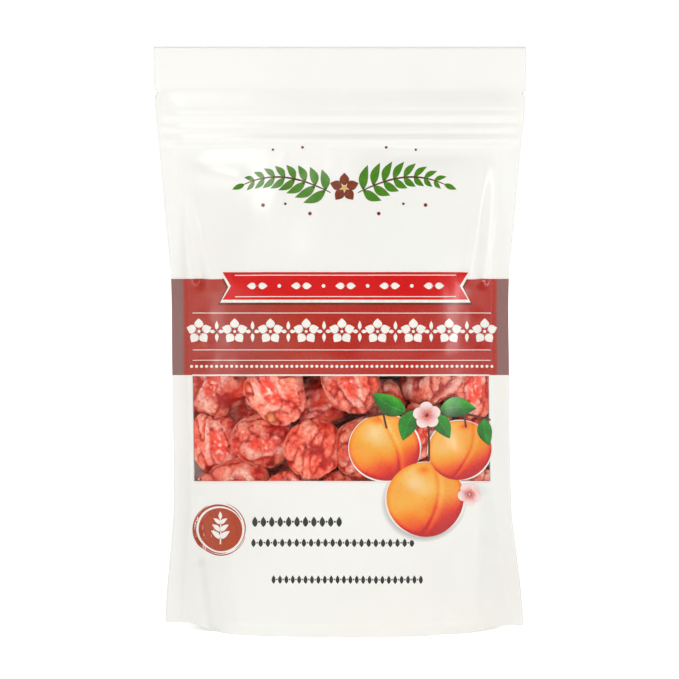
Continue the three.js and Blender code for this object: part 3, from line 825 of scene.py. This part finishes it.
def frieze(white_ink):
    """A row of plain blossoms and leaf crosses along the band, with lines and beads."""
    p = Print(2)
    for k in range(-8, 9):
        u = FRIEZE_PITCH * k / 2
        if k % 2 == 0:
            for angle in FIVE_WAYS:
                p.ray(u, FRIEZE_HEIGHT, 1.2, 4.2, 3.7, angle)
            p.disc(u, FRIEZE_HEIGHT, 0.62)
        else:
            for quarter in range(4):
                length = 3.9 if quarter % 2 else 2.6
                p.ray(u, FRIEZE_HEIGHT, 0.5, length, 1.5, quarter * math.pi / 2, steps=8)
    for k in range(-30, 31):
        p.disc(BEAD_PITCH * k, BEAD_HEIGHT, 0.62, spokes=12)
    for v in FRIEZE_LINES:
        p.box(-61.0, v - LINE_HALF, 61.0, v + LINE_HALF, 2.0)
    p.lay("print_band_border", white_ink)


def sprig(sign, leaves, stems):
    """A leafy sprig that curves away from the blossom, to the left or right by sign."""
    def path(t):
        return SPRIG_MIDDLE + sign * (5.5 + 35.0 * t), 181.0 + 9.0 * np.sin(1.9 * t) - 5.0 * t * t

    def heading(start, end):
        (pu, pv), (qu, qv) = path(start), path(end)
        return math.atan2(qv - pv, qu - pu)

    stems.stroke(path, 0.75, taper=0.5)
    for k in range(8):
        t = 0.06 + 0.118 * k
        size = 10.5 - 0.75 * k
        for flip in (-1, 1):
            length = size * (1 if flip * sign > 0 else 0.82)
            angle = heading(t, t + 0.01) + flip * sign * (0.95 - 0.05 * k)
            leaves.leaf(*path(t), length, size * 0.36, angle, bend=0.07 * flip * sign)
    leaves.leaf(*path(1.0), 5.5, 2.2, heading(0.98, 1.0))


def sprigs():
    """Two leafy sprigs with a blossom between them."""
    leaves, stems, dots, eye = Print(1), Print(1), Print(2), Print(3)
    for sign in (-1, 1):
        sprig(sign, leaves, stems)
        for u, v, radius in SPRIG_DOTS:
            dots.disc(SPRIG_MIDDLE + sign * u, v, radius)
    for angle in FIVE_WAYS:
        dots.ray(SPRIG_MIDDLE, SPRIG_FLOWER_HEIGHT, 0.9, 5.2, 4.0, angle)
    eye.disc(SPRIG_MIDDLE, SPRIG_FLOWER_HEIGHT, 1.15, spokes=18)
    leaves.lay("print_sprig_leaves", flat_ink("leaf"))
    stems.lay("print_sprig_stems", flat_ink("stem"))
    dots.lay("print_blossom", flat_ink("blossom"))
    eye.lay("print_blossom_eye", flat_ink("eye"))


def badge(white_ink):
    """A brushed terracotta disc with a small sprig."""
    u, v = BADGE
    p = Print(1)
    p.disc(u + 0.4, v - 0.3, BADGE_RADIUS, spokes=48, rings=5)
    for start, length, radius, width in BADGE_ARCS:
        def arc(t, start=start, length=length, radius=radius):
            a = start + length * t
            return u + (radius + 0.5 * t) * np.cos(a), v + (radius + 0.5 * t) * np.sin(a)

        p.stroke(arc, width, 48, taper=0.8)
    p.lay("print_badge", flat_ink("terracotta"))
    q = Print(2)
    q.stroke(lambda t: (u + 0.4 + 0.3 * np.sin(3 * t), v - 6.4 + 11.0 * t), 0.5, 12)
    for k, size in enumerate((5.2, 4.6, 3.8)):
        for sign in (-1, 1):
            angle = math.pi / 2 - sign * 0.85
            q.leaf(u + 0.5, v - 4.2 + 3.1 * k, size, size * 0.42, angle, bend=sign * 0.06)
    q.leaf(u + 0.5, v + 4.0, 3.4, 1.5, math.pi / 2)
    q.lay("print_badge_sprig", white_ink)


def small_marks():
    """Rows of dark grey lozenges and beads."""
    p = Print(1)
    for left, right, v, size in MARK_ROWS:
        count = round((right - left) / (size * 0.82))
        pitch = (right - left) / count
        for k in range(count):
            u = left + pitch * (k + 0.5)
            p.leaf(u, v - size / 2, size, size * 0.52, math.pi / 2, steps=10)
            if k:
                p.disc(u - pitch / 2, v, size * 0.1, spokes=10)
    p.lay("print_dividers", flat_ink("grey"))


# The printed picture: three whole fruits on a twig with leaves and blossoms, shaded by formula.

def ramp(stops, t):
    """Colours along a ramp of stops, in linear light."""
    at = [stop[0] for stop in stops]
    rgb = np.array([srgb(*stop[1]) for stop in stops])
    return np.stack([np.interp(t, at, rgb[:, k]) for k in range(3)], -1)


def picture_grid(u, v, radius, lobes=(), spacing=0.42):
    """A round grid: shares of the radius, angles, and places across and up."""
    rings = max(4, round(radius / spacing))
    spokes = max(16, round(2 * math.pi * radius / spacing))
    r = np.linspace(0.004, 1, rings + 1)[:, None]
    a = np.linspace(0, 2 * math.pi, spokes, endpoint=False)[None]
    wobble = sum(size * np.cos(count * a + phase) for count, size, phase in lobes)
    reach = radius * (1 + wobble) * (1 - 0.05 * np.sin(a) ** 2)
    return r + 0 * a, a + 0 * r, u + r * reach * np.cos(a), v + r * reach * np.sin(a)


# Fruit: across, height, radius, turn of the seam, seed. Leaves: across, height, length, width,
# angle, curl. Ramps: position, colour.
PICTURE_FRUIT = [(17.6, 76.0, 14.6, 0.30, 1.7), (34.4, 54.5, 16.2, -0.15, 3.1),
                 (48.4, 75.0, 13.0, -0.35, 4.4)]
PICTURE_LEAVES = [(26.0, 90.8, 15.5, 8.6, 2.62, 0.05), (30.0, 91.5, 13.5, 7.8, -1.95, -0.05),
                  (40.0, 91.6, 15.0, 8.4, 0.05, 0.07), (37.0, 90.0, 12.5, 7.0, -0.95, 0.06),
                  (58.0, 88.0, 11.5, 6.0, -1.35, -0.05)]
SKIN = [(0.0, (196, 34, 8)), (0.18, (234, 70, 22)), (0.36, (248, 112, 38)), (0.56, (252, 154, 58)),
        (0.78, (253, 182, 82)), (1.0, (252, 214, 142))]
LEAF = [(0.0, (8, 74, 6)), (0.35, (22, 118, 12)), (0.65, (66, 168, 34)), (1.0, (150, 214, 92))]
PETAL = [(0.0, (206, 70, 84)), (0.35, (244, 170, 172)), (0.7, (255, 226, 220)), (1.0, (255, 242, 236))]


def whole_fruit(p, u, v, radius, seam, seed, stem):
    """A fruit lit from above on the left, with a seam, a hollow at its stem, blush and freckles."""
    r, a, pu, pv = picture_grid(u, v, radius, lobes=((2, 0.018, seed), (3, 0.012, 1.3 * seed)))
    nx, ny = r * np.cos(a), r * np.sin(a)
    nz = np.sqrt(np.clip(1 - r * r, 0, 1))
    light = 0.52 + 0.42 * (-0.42 * nx + 0.55 * ny + 0.62 * nz - 0.35)
    blush = 0.30 * step(0.25 - ny + 0.35 * nx, 0.1, 1.2) + 0.16 * field(fruit_noise, pu / 9, pv / 9, seed)
    bent = nx * math.cos(seam) + ny * math.sin(seam) - 0.30 * (1 - (ny * math.cos(seam)) ** 2)
    shade = light + 0.10 - blush - 0.20 * bell(bent, 0.05) + 0.10 * bell(bent - 0.10, 0.07)
    hollow = bell(np.hypot(nx - stem[0], (ny - stem[1]) * 1.5), 0.17)
    shade = shade - 0.42 * hollow - 0.16 * step(r, 0.86, 1.0)
    shade = shade + 0.035 * field(fruit_noise, pu / 1.1, pv / 1.1, 2 * seed)
    freckle = step(field(fruit_noise, pu / 0.9, pv / 0.9, 5 * seed), 0.52, 0.7)
    colour = ramp(SKIN, np.clip(shade - 0.10 * freckle, 0, 1))
    shine = 0.5 * bell(np.hypot(nx + 0.30, ny - 0.42), 0.20)[..., None]
    p.grid(pu, pv, blend(colour, srgb(255, 228, 176), shine), wrap=True)


def picture_leaf(p, u, v, length, width, angle, curl):
    """A broad green leaf with a pale midrib and side veins."""
    t = np.linspace(0, 1, 70)[:, None]
    s = np.linspace(-1, 1, 41)[None]
    off = width / 2 * s * np.sin(math.pi * t**0.8) ** 0.9 + curl * length * np.sin(math.pi * t)
    ca, sa = math.cos(angle), math.sin(angle)
    pu, pv = u + length * t * ca - off * sa, v + length * t * sa + off * ca
    veins = 0.16 * bell(np.sin(math.pi * (7 * t - 1.5 * np.abs(s)) + 0 * s), 0.16) * (1 - s * s)
    light = 0.42 + 0.26 * s * math.cos(angle) + 0.14 * field(fruit_noise, pu / 3, pv / 3, 1.5)
    light = light - 0.12 * step(np.abs(s), 0.85, 1.0) + veins + 0.3 * bell(s, 0.06) * (1 - 0.6 * t)
    p.grid(pu, pv, ramp(LEAF, np.clip(light, 0, 1)))


def blossom(p, u, v, size, turn):
    """A pale five-petalled flower with a darker middle."""
    def spread(count, first, out, radius):
        for k in range(count):
            angle = turn + first + k * 2 * math.pi / count
            r, _, pu, pv = picture_grid(u + out * math.cos(angle), v + out * math.sin(angle), radius)
            yield r, pu, pv

    for r, pu, pv in spread(5, 0.0, size, size * 0.86):
        inward = np.hypot(pu - u, pv - v) / (1.9 * size)
        p.grid(pu, pv, ramp(PETAL, np.clip(inward - 0.1 * r**4, 0, 1)), wrap=True)
    for r, pu, pv in spread(9, 0.3, 0.62 * size, 0.34):
        p.grid(pu, pv, np.array(srgb(236, 150, 40)) + 0 * r[..., None], wrap=True)


def picture():
    """The fruits and a twig, with a pale edge and a soft shadow under the lowest fruit."""
    edge = Print(3)
    for u, v, radius, _, _ in PICTURE_FRUIT:
        _, _, pu, pv = picture_grid(u, v, radius + 0.38, spacing=1.2)
        edge.grid(pu, pv, wrap=True)
    edge.lay("print_picture_edge", flat_ink("picture_edge"))
    p = Print(2)
    u, v, radius, _, _ = PICTURE_FRUIT[1]
    r, _, pu, pv = picture_grid(u - 0.6, v - 1.3, radius + 1.3, spacing=0.8)
    fade = step(r, 0.9, 1.0)[..., None]
    p.grid(pu, pv, blend(srgb(206, 203, 199), srgb(240, 239, 235), fade), wrap=True)
    p.lay("print_picture_shadow", painted_ink("shadow_ink"))
    art = painted_ink("picture_ink")
    for k, (u, v, radius, seam, seed) in enumerate(PICTURE_FRUIT):
        p = Print(4 + k)
        whole_fruit(p, u, v, radius, seam, seed, (-0.05 - 0.2 * math.sin(seed), 0.80))
        p.lay(f"print_fruit_{k + 1}", art)
    twig = Print(7)
    twig.stroke(lambda t: (9.0 + 52.0 * t, 88.5 + 4.2 * np.sin(3.0 * t) - 1.5 * t), 1.25, 40, taper=0.5)
    twig.stroke(lambda t: (17.0 + 1.4 * t, 90.0 - 6.0 * t), 0.8, 10)
    twig.stroke(lambda t: (35.0 + 0.8 * np.sin(2 * t), 92.2 - 22.0 * t), 0.8, 24)
    twig.stroke(lambda t: (50.0 + 0.9 * t, 90.4 - 6.0 * t), 0.8, 10)
    twig.lay("print_twig", flat_ink("twig"))
    p = Print(8)
    for leaf in PICTURE_LEAVES:
        picture_leaf(p, *leaf)
    p.lay("print_leaves", art)
    p = Print(9)
    blossom(p, 34.8, 89.6, 3.1, 0.4)
    blossom(p, 52.6, 56.6, 2.7, 0.9)
    p.lay("print_small_blossoms", art)


def window_edges():
    """The thin pale lines above and below the window, and on top of the band."""
    p = Print(2, seen=False)
    p.box(-WINDOW_HALF, WINDOW_LOW - 0.5, WINDOW_HALF, WINDOW_LOW + 0.1, 1.2)
    p.box(-WINDOW_HALF, WINDOW_HIGH - 0.4, WINDOW_HALF, WINDOW_HIGH + 0.25, 1.2)
    p.box(-HALF_FLAT, BAND_HIGH - 0.05, HALF_FLAT, BAND_HIGH + 0.4, 1.0)
    p.lay("print_window_lines", flat_ink("line"))


# The fruit.

def sphere(level):
    """Points and faces of a unit sphere made of near-equal triangles."""
    ball = bmesh.new()
    bmesh.ops.create_icosphere(ball, subdivisions=level, radius=1.0)
    ball.verts.ensure_lookup_table()
    points = np.array([v.co for v in ball.verts])
    faces = np.array([[v.index for v in f.verts] for f in ball.faces])
    pairs = np.array([[v.index for v in e.verts] for e in ball.edges])
    ball.free()
    return points / np.linalg.norm(points, axis=1)[:, None], faces, pairs


def relax(values, pairs, rounds):
    """Averages each vertex's value with its neighbours'."""
    count = np.bincount(pairs.ravel(), minlength=len(values))
    for _ in range(rounds):
        total = np.bincount(pairs[:, 0], values[pairs[:, 1]], len(values))
        total += np.bincount(pairs[:, 1], values[pairs[:, 0]], len(values))
        values = 0.5 * values + 0.5 * total / count
    return values


def fruit_axes(points):
    """Middle and axes of a fruit, the last one along its flat direction."""
    middle = (points.min(0) + points.max(0)) / 2
    spread, axes = np.linalg.eigh(np.cov((points - middle).T))
    axes = axes[:, ::-1].T
    axes[0] = np.cross(axes[1], axes[2])
    return middle, axes


# Dark red for painted shade in the deepest folds and in the sunk ring round a stem end.
RECESS_SHADE = srgb(130, 6, 3)
# A deeper red for the furrows, partly the flesh's own colour and partly painted shade.
FURROW = srgb(212, 36, 16)
BODY = srgb(246, 114, 80)
PALE = srgb(253, 174, 146)
RIDGE = srgb(255, 228, 214)
PIT_RED = srgb(240, 62, 34)
STEM = srgb(250, 170, 90)


SWELL, SWELL_AT_BACK, BACK_FROM = 1.14, 1.3, 3
SWELL_ABOVE = 48.0
FROM_FILM, FROM_SEAL, FROM_GUSSET = 0.42, 1.0, 0.6
EDGE_FROM, EDGE_LEAST, EDGE_TO, EDGE_STRETCH = 40.0, 6, 62.6, 1.8
SEEN_LOW, SEEN_HIGH, SEEN_FROM = 54, 112, 2  # fruit in these heights and before this depth is finer
FINE_LEVEL, COARSE_LEVEL = 5, 4
SMOOTHING = {COARSE_LEVEL: 3, FINE_LEVEL: 9}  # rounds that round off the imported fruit's facets
NO_HIT_REACH = 6.0
FOLDS, SIDE_FOLDS, WRINKLES, CRINKLES = 0.72, 0.36, 0.17, 0.06  # depths
PIT_DEPTH, LIP_HEIGHT, RIM_HEIGHT, MOST_OUT = 0.9, 0.45, 0.15, 0.12
STEM_RING = 0.17  # the angle from a stem end to the ring round it


def squeezed(middle, shape):
    """Packs a fruit by the window tighter than the rigid model: swollen, then kept in the film."""
    points = middle + shape
    by_window = points[:, 2].min() > SWELL_ABOVE
    if by_window:
        points = middle + shape * (SWELL if middle[1] < BACK_FROM else SWELL_AT_BACK)
    reach = np.abs(points[:, 0]).max()
    if by_window and reach > EDGE_FROM + EDGE_LEAST:
        stretch = min(EDGE_STRETCH, (EDGE_TO - EDGE_FROM) / (reach - EDGE_FROM))
        beyond = np.maximum(np.abs(points[:, 0]) - EDGE_FROM, 0)
        points[:, 0] += np.sign(points[:, 0]) * beyond * (stretch - 1)
    side_room = half_width(points[:, 2]) - SIDE_SEAL - FROM_SEAL
    leaning = lean(points[:, 2])
    points[:, 0] = leaning + np.clip(points[:, 0] - leaning, -side_room, side_room)
    u, v = flat_place(points[:, 0], points[:, 2])
    near = film_points(FRONT, u, v)[:, 1] + FROM_FILM
    far = film_points(BACK, u, v)[:, 1] - FROM_FILM
    centre = (near + far) / 2
    points[:, 1] = np.clip(points[:, 1], np.minimum(near, centre), np.maximum(far, centre))
    floor_z = gusset_top(points[:, 0] - leaning, points[:, 1], (far - near) / 2)
    points[:, 2] = np.maximum(points[:, 2], floor_z + FROM_GUSSET)
    return points


def packed_reach(points, mesh, middle, level):
    """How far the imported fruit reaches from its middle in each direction, smoothed."""
    directions, _, pairs = SPHERES[level]
    tree = BVHTree.FromPolygons(points.tolist(), [tuple(f.vertices) for f in mesh.polygons])
    hits = [tree.ray_cast(Vector(middle), Vector(d))[3] for d in directions]
    return relax(np.array([hit or NO_HIT_REACH for hit in hits]), pairs, SMOOTHING[level])


def fruit_features(place, within, local, flat_side, seed):
    """Furrows, lumps and the stone's hollow of one fruit, each as a value for every vertex."""
    shift = np.array([seed * 3.17, seed * 1.31, seed * 0.73])
    warp = np.stack([fruit_noise(place / 8 + shift + k) for k in range(3)], -1)
    bent = within + 2.2 * warp
    f = SimpleNamespace()

    # Furrows run mostly along the fruit, and finer wrinkles branch between them.
    f.folds = bell(fruit_noise(bent * [0.075, 0.21, 0.19] + shift), 0.13)
    f.side_folds = bell(fruit_noise(bent * [0.20, 0.15, 0.24] - shift), 0.09)
    f.wrinkles = bell(fruit_noise(bent * [0.30, 0.52, 0.45] + 2 * shift), 0.16)
    f.crinkles = bell(fruit_noise(bent * [0.8, 1.1, 1.0] + 3 * shift), 0.16)
    f.lumps = fruit_noise(place / 7.5 - shift)
    f.grain = fruit_noise(bent / 1.2 + 3 * shift)

    # The stone's hollow is oval, with a raised lip.
    f.hollow_at = flat_side * local[:, 2]
    f.pit_r = np.hypot(local[:, 0] * 0.72, local[:, 1] * 1.15) + 0.09 * warp[:, 0]
    f.in_pit = step(f.hollow_at, 0.1, 0.5) * (1 - step(f.pit_r, 0.30, 0.50))
    f.lip = step(f.hollow_at, 0.1, 0.5) * bell(f.pit_r - 0.54, 0.10)
    f.rim = bell(local[:, 2] + 0.12 * warp[:, 1], 0.20)

    # Patches of colour.
    f.light = step(fruit_noise(place / 8 - 2 * shift) + 0.5 * f.lumps, -0.6, 0.6)
    f.streak = step(fruit_noise(bent * [0.22, 0.85, 0.7] - 3 * shift), 0.05, 0.55)
    f.mottled = step(fruit_noise(bent / 1.7 + 4 * shift), 0.0, 0.4)
    return f


def fruit_relief(f):
    """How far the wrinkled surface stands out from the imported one, or in, in millimetres."""
    out = 0.40 * f.lumps + 0.12 * f.grain * (0.5 + f.in_pit) - 0.28
    out -= FOLDS * f.folds * (1 - 0.8 * f.in_pit) + SIDE_FOLDS * f.side_folds
    out -= WRINKLES * f.wrinkles + CRINKLES * f.crinkles
    out += LIP_HEIGHT * f.lip + RIM_HEIGHT * f.rim - PIT_DEPTH * f.in_pit
    return np.minimum(out, MOST_OUT)


def tinted(colour, other, share):
    return blend(colour, other, share[:, None])


def fruit_colour(f):
    """Redder in the hollow and in the furrows, where the red is partly the flesh's own and partly painted
    shade, darkest in the deepest folds, and paler on raised ridges.
    """
    deep = np.clip(0.95 * f.folds * (1 - 0.7 * f.in_pit) + 0.55 * f.side_folds, 0, 1)
    fine = 0.36 * f.wrinkles + 0.22 * f.crinkles + 0.5 * step(f.lumps, 0.1, -0.7)
    colour = tinted(BODY, PALE, 0.8 * f.light)
    colour = tinted(colour, RIDGE, 0.55 * f.streak * (0.4 + 0.6 * f.light))
    colour = tinted(colour, RIDGE, 0.6 * np.maximum(f.lip, 0.5 * f.rim))
    # Furrows, wrinkles and low lumps take the deeper red, partly as the flesh's own colour and partly as
    # painted shade.
    colour = tinted(colour, FURROW, np.clip(0.75 * deep + fine, 0, 1))
    # Painted shade: the deepest folds darken towards near black-red.
    colour = tinted(colour, RECESS_SHADE, 0.62 * step(deep, 0.5, 1.0))
    colour = tinted(colour, tinted(PIT_RED, RIDGE, 0.85 * f.mottled), 0.8 * f.in_pit)
    return tinted(colour, PIT_RED, 0.75 * step(f.hollow_at, 0.2, 0.5) * bell(f.pit_r - 0.41, 0.06))


def stem_end(local, flat_side, seed, shape, colour):
    """A pale stem end in a sunk ring that is darkened with painted shade."""
    side = np.array([math.cos(seed), math.sin(seed), 0.5 * flat_side])
    away = np.arccos(np.clip(local @ (side / np.linalg.norm(side)), -1, 1))
    grown = 1 + 0.05 * bell(away, 0.075) - 0.07 * bell(away - STEM_RING, 0.06)
    colour = tinted(colour, RECESS_SHADE, 0.8 * bell(away - STEM_RING, 0.07))
    return shape * grown[:, None], tinted(colour, STEM, bell(away, 0.10))


def grow_fruit(name, node, seed, level, flesh):
    """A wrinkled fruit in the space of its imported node, with a colour for each vertex."""
    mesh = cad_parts[node].data
    points = np.array([v.co for v in mesh.vertices]) / MM
    middle, axes = fruit_axes(points)
    directions, faces, _ = SPHERES[level]
    reach = packed_reach(points, mesh, middle, level)
    local = directions @ axes.T
    flat_side = np.sign(reach[local[:, 2] < -0.97].mean() - reach[local[:, 2] > 0.97].mean())
    place = directions * reach[:, None]
    f = fruit_features(place, place @ axes.T, local, flat_side, seed)
    shape = place * ((reach + fruit_relief(f)) / reach)[:, None]
    colour = fruit_colour(f)
    if seed % 5 == 2:
        shape, colour = stem_end(local, flat_side, seed, shape, colour)
    tone = 1 + 0.12 * math.sin(seed * 2.4)
    piece = finish_piece(name, squeezed(middle, shape), faces, flesh, "dried_fruit", [node])
    paint(piece, "flesh", np.clip(colour * tone, 0, 1))


def fruit():
    flesh = dried_flesh()
    nodes = sorted(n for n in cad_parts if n.startswith("dried_apricot_"))
    for k, node in enumerate(nodes):
        low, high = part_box(node)
        seen = high.z / MM > SEEN_LOW and low.z / MM < SEEN_HIGH and low.y / MM < SEEN_FROM
        grow_fruit("fruit_" + node[-2:], node, k + 1, FINE_LEVEL if seen else COARSE_LEVEL, flesh)


SPHERES = {level: sphere(level) for level in SMOOTHING}

panels()
gusset_film()
band()
white_ink = flat_ink("white")
ribbon(white_ink)
frieze(white_ink)
sprigs()
badge(white_ink)
small_marks()
picture()
window_edges()
fruit()
zip_finish = zip_plastic()
for node in ("zip_groove", "zip_rib"):
    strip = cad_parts[node].data
    strip.materials.clear()
    strip.materials.append(zip_finish)


# Floor, light and camera.

FLOOR_HALF = 30.0
FLOOR_GLOW = (0.2, 0.9, 0.46, 0.7)  # from and to this far away, and how strong near and far
EVEN_LIGHT, BACKDROP = 0.34, 1.0
MIDDLE = (0, 0, 0.12)
SOFTBOXES = [  # name, place, target, size across and up, power
    ("key", (-0.42, -1.2, 1.0), MIDDLE, (0.6, 0.8), 7.7),
    ("right_strip", (1.15, -0.72, 0.35), MIDDLE, (0.16, 1.2), 5.6),
    ("left_strip", (-1.2, -0.6, 0.3), MIDDLE, (0.14, 1.1), 2.6),
    ("top", (0, 0.15, 1.5), (0, 0, 0), (1.4, 1.2), 1.5),
    ("back", (0.5, 1.4, 0.9), MIDDLE, (0.9, 0.9), 6),
]


def stage_floor():
    """A pale floor that glows more and more away from the pouch, so that it ends in white."""
    mesh = bpy.data.meshes.new("floor")
    corners = [(-1, -1), (1, -1), (1, 1), (-1, 1)]
    mesh.from_pydata([(x * FLOOR_HALF, y * FLOOR_HALF, 0) for x, y in corners], [], [(0, 1, 2, 3)])
    floor = add_object("floor", mesh)
    n = material("pale_floor")
    n.set(Base_Color=n.mix(n.noise(6), (0.93, 0.93, 0.925), (0.94, 0.94, 0.935)), Roughness=0.6)
    away = n.add("ShaderNodeVectorMath", {0: n.place()}, operation="LENGTH").outputs["Value"]
    n.set(Emission_Color=(1, 1, 1), Emission_Strength=n.remap(away, *FLOOR_GLOW))
    mesh.materials.append(n.owner)


def aim(thing, place, direction):
    """Puts a light or a camera at a place, looking along a direction."""
    thing.location = place
    thing.rotation_mode = "QUATERNION"
    thing.rotation_quaternion = direction.to_track_quat("-Z", "Y")


def softbox(name, place, target, size, power):
    data = bpy.data.lights.new(name, "AREA")
    data.shape = "RECTANGLE"
    data.size, data.size_y = size
    data.energy = power
    aim(add_object(name, data), place, Vector(target) - Vector(place))


def world_light():
    """Even light from all round, and a plain white backdrop past the floor."""
    world = bpy.data.worlds.new("studio")
    bpy.context.scene.world = world
    n = Nodes(world)
    even = n.fill(n.tree.nodes["Background"], {"Color": (1, 1, 1), "Strength": EVEN_LIGHT})
    backdrop = n.add("ShaderNodeBackground", {"Color": (1, 1, 1), "Strength": BACKDROP})
    n.show(n.add("ShaderNodeLightPath", {}).outputs["Is Camera Ray"], even, backdrop)


CAMERA_DISTANCE = 1.0
CAMERA_ELEVATION = math.radians(7.0)
SENSOR = 36
PHOTO_SIDE, PHOTO_FOCAL_LENGTH = 679, 2460  # pixels
CAMERA_LENS = PHOTO_FOCAL_LENGTH / PHOTO_SIDE * SENSOR
CAMERA_AIM = Vector((-0.00096, -0.008, 0.12186))


def camera():
    data = bpy.data.cameras.new("camera")
    data.lens, data.sensor_width = CAMERA_LENS, SENSOR
    data.clip_start, data.clip_end = 0.01, 50
    view = add_object("camera", data)
    back = Vector((0, -math.cos(CAMERA_ELEVATION), math.sin(CAMERA_ELEVATION)))
    aim(view, CAMERA_AIM + back * CAMERA_DISTANCE, -back)
    bpy.context.scene.camera = view


stage_floor()
world_light()
for box in SOFTBOXES:
    softbox(*box)
camera()
bpy.context.scene.view_settings.view_transform = "Standard"
bpy.context.scene.view_settings.look = "None"

bpy.context.view_layer.update()
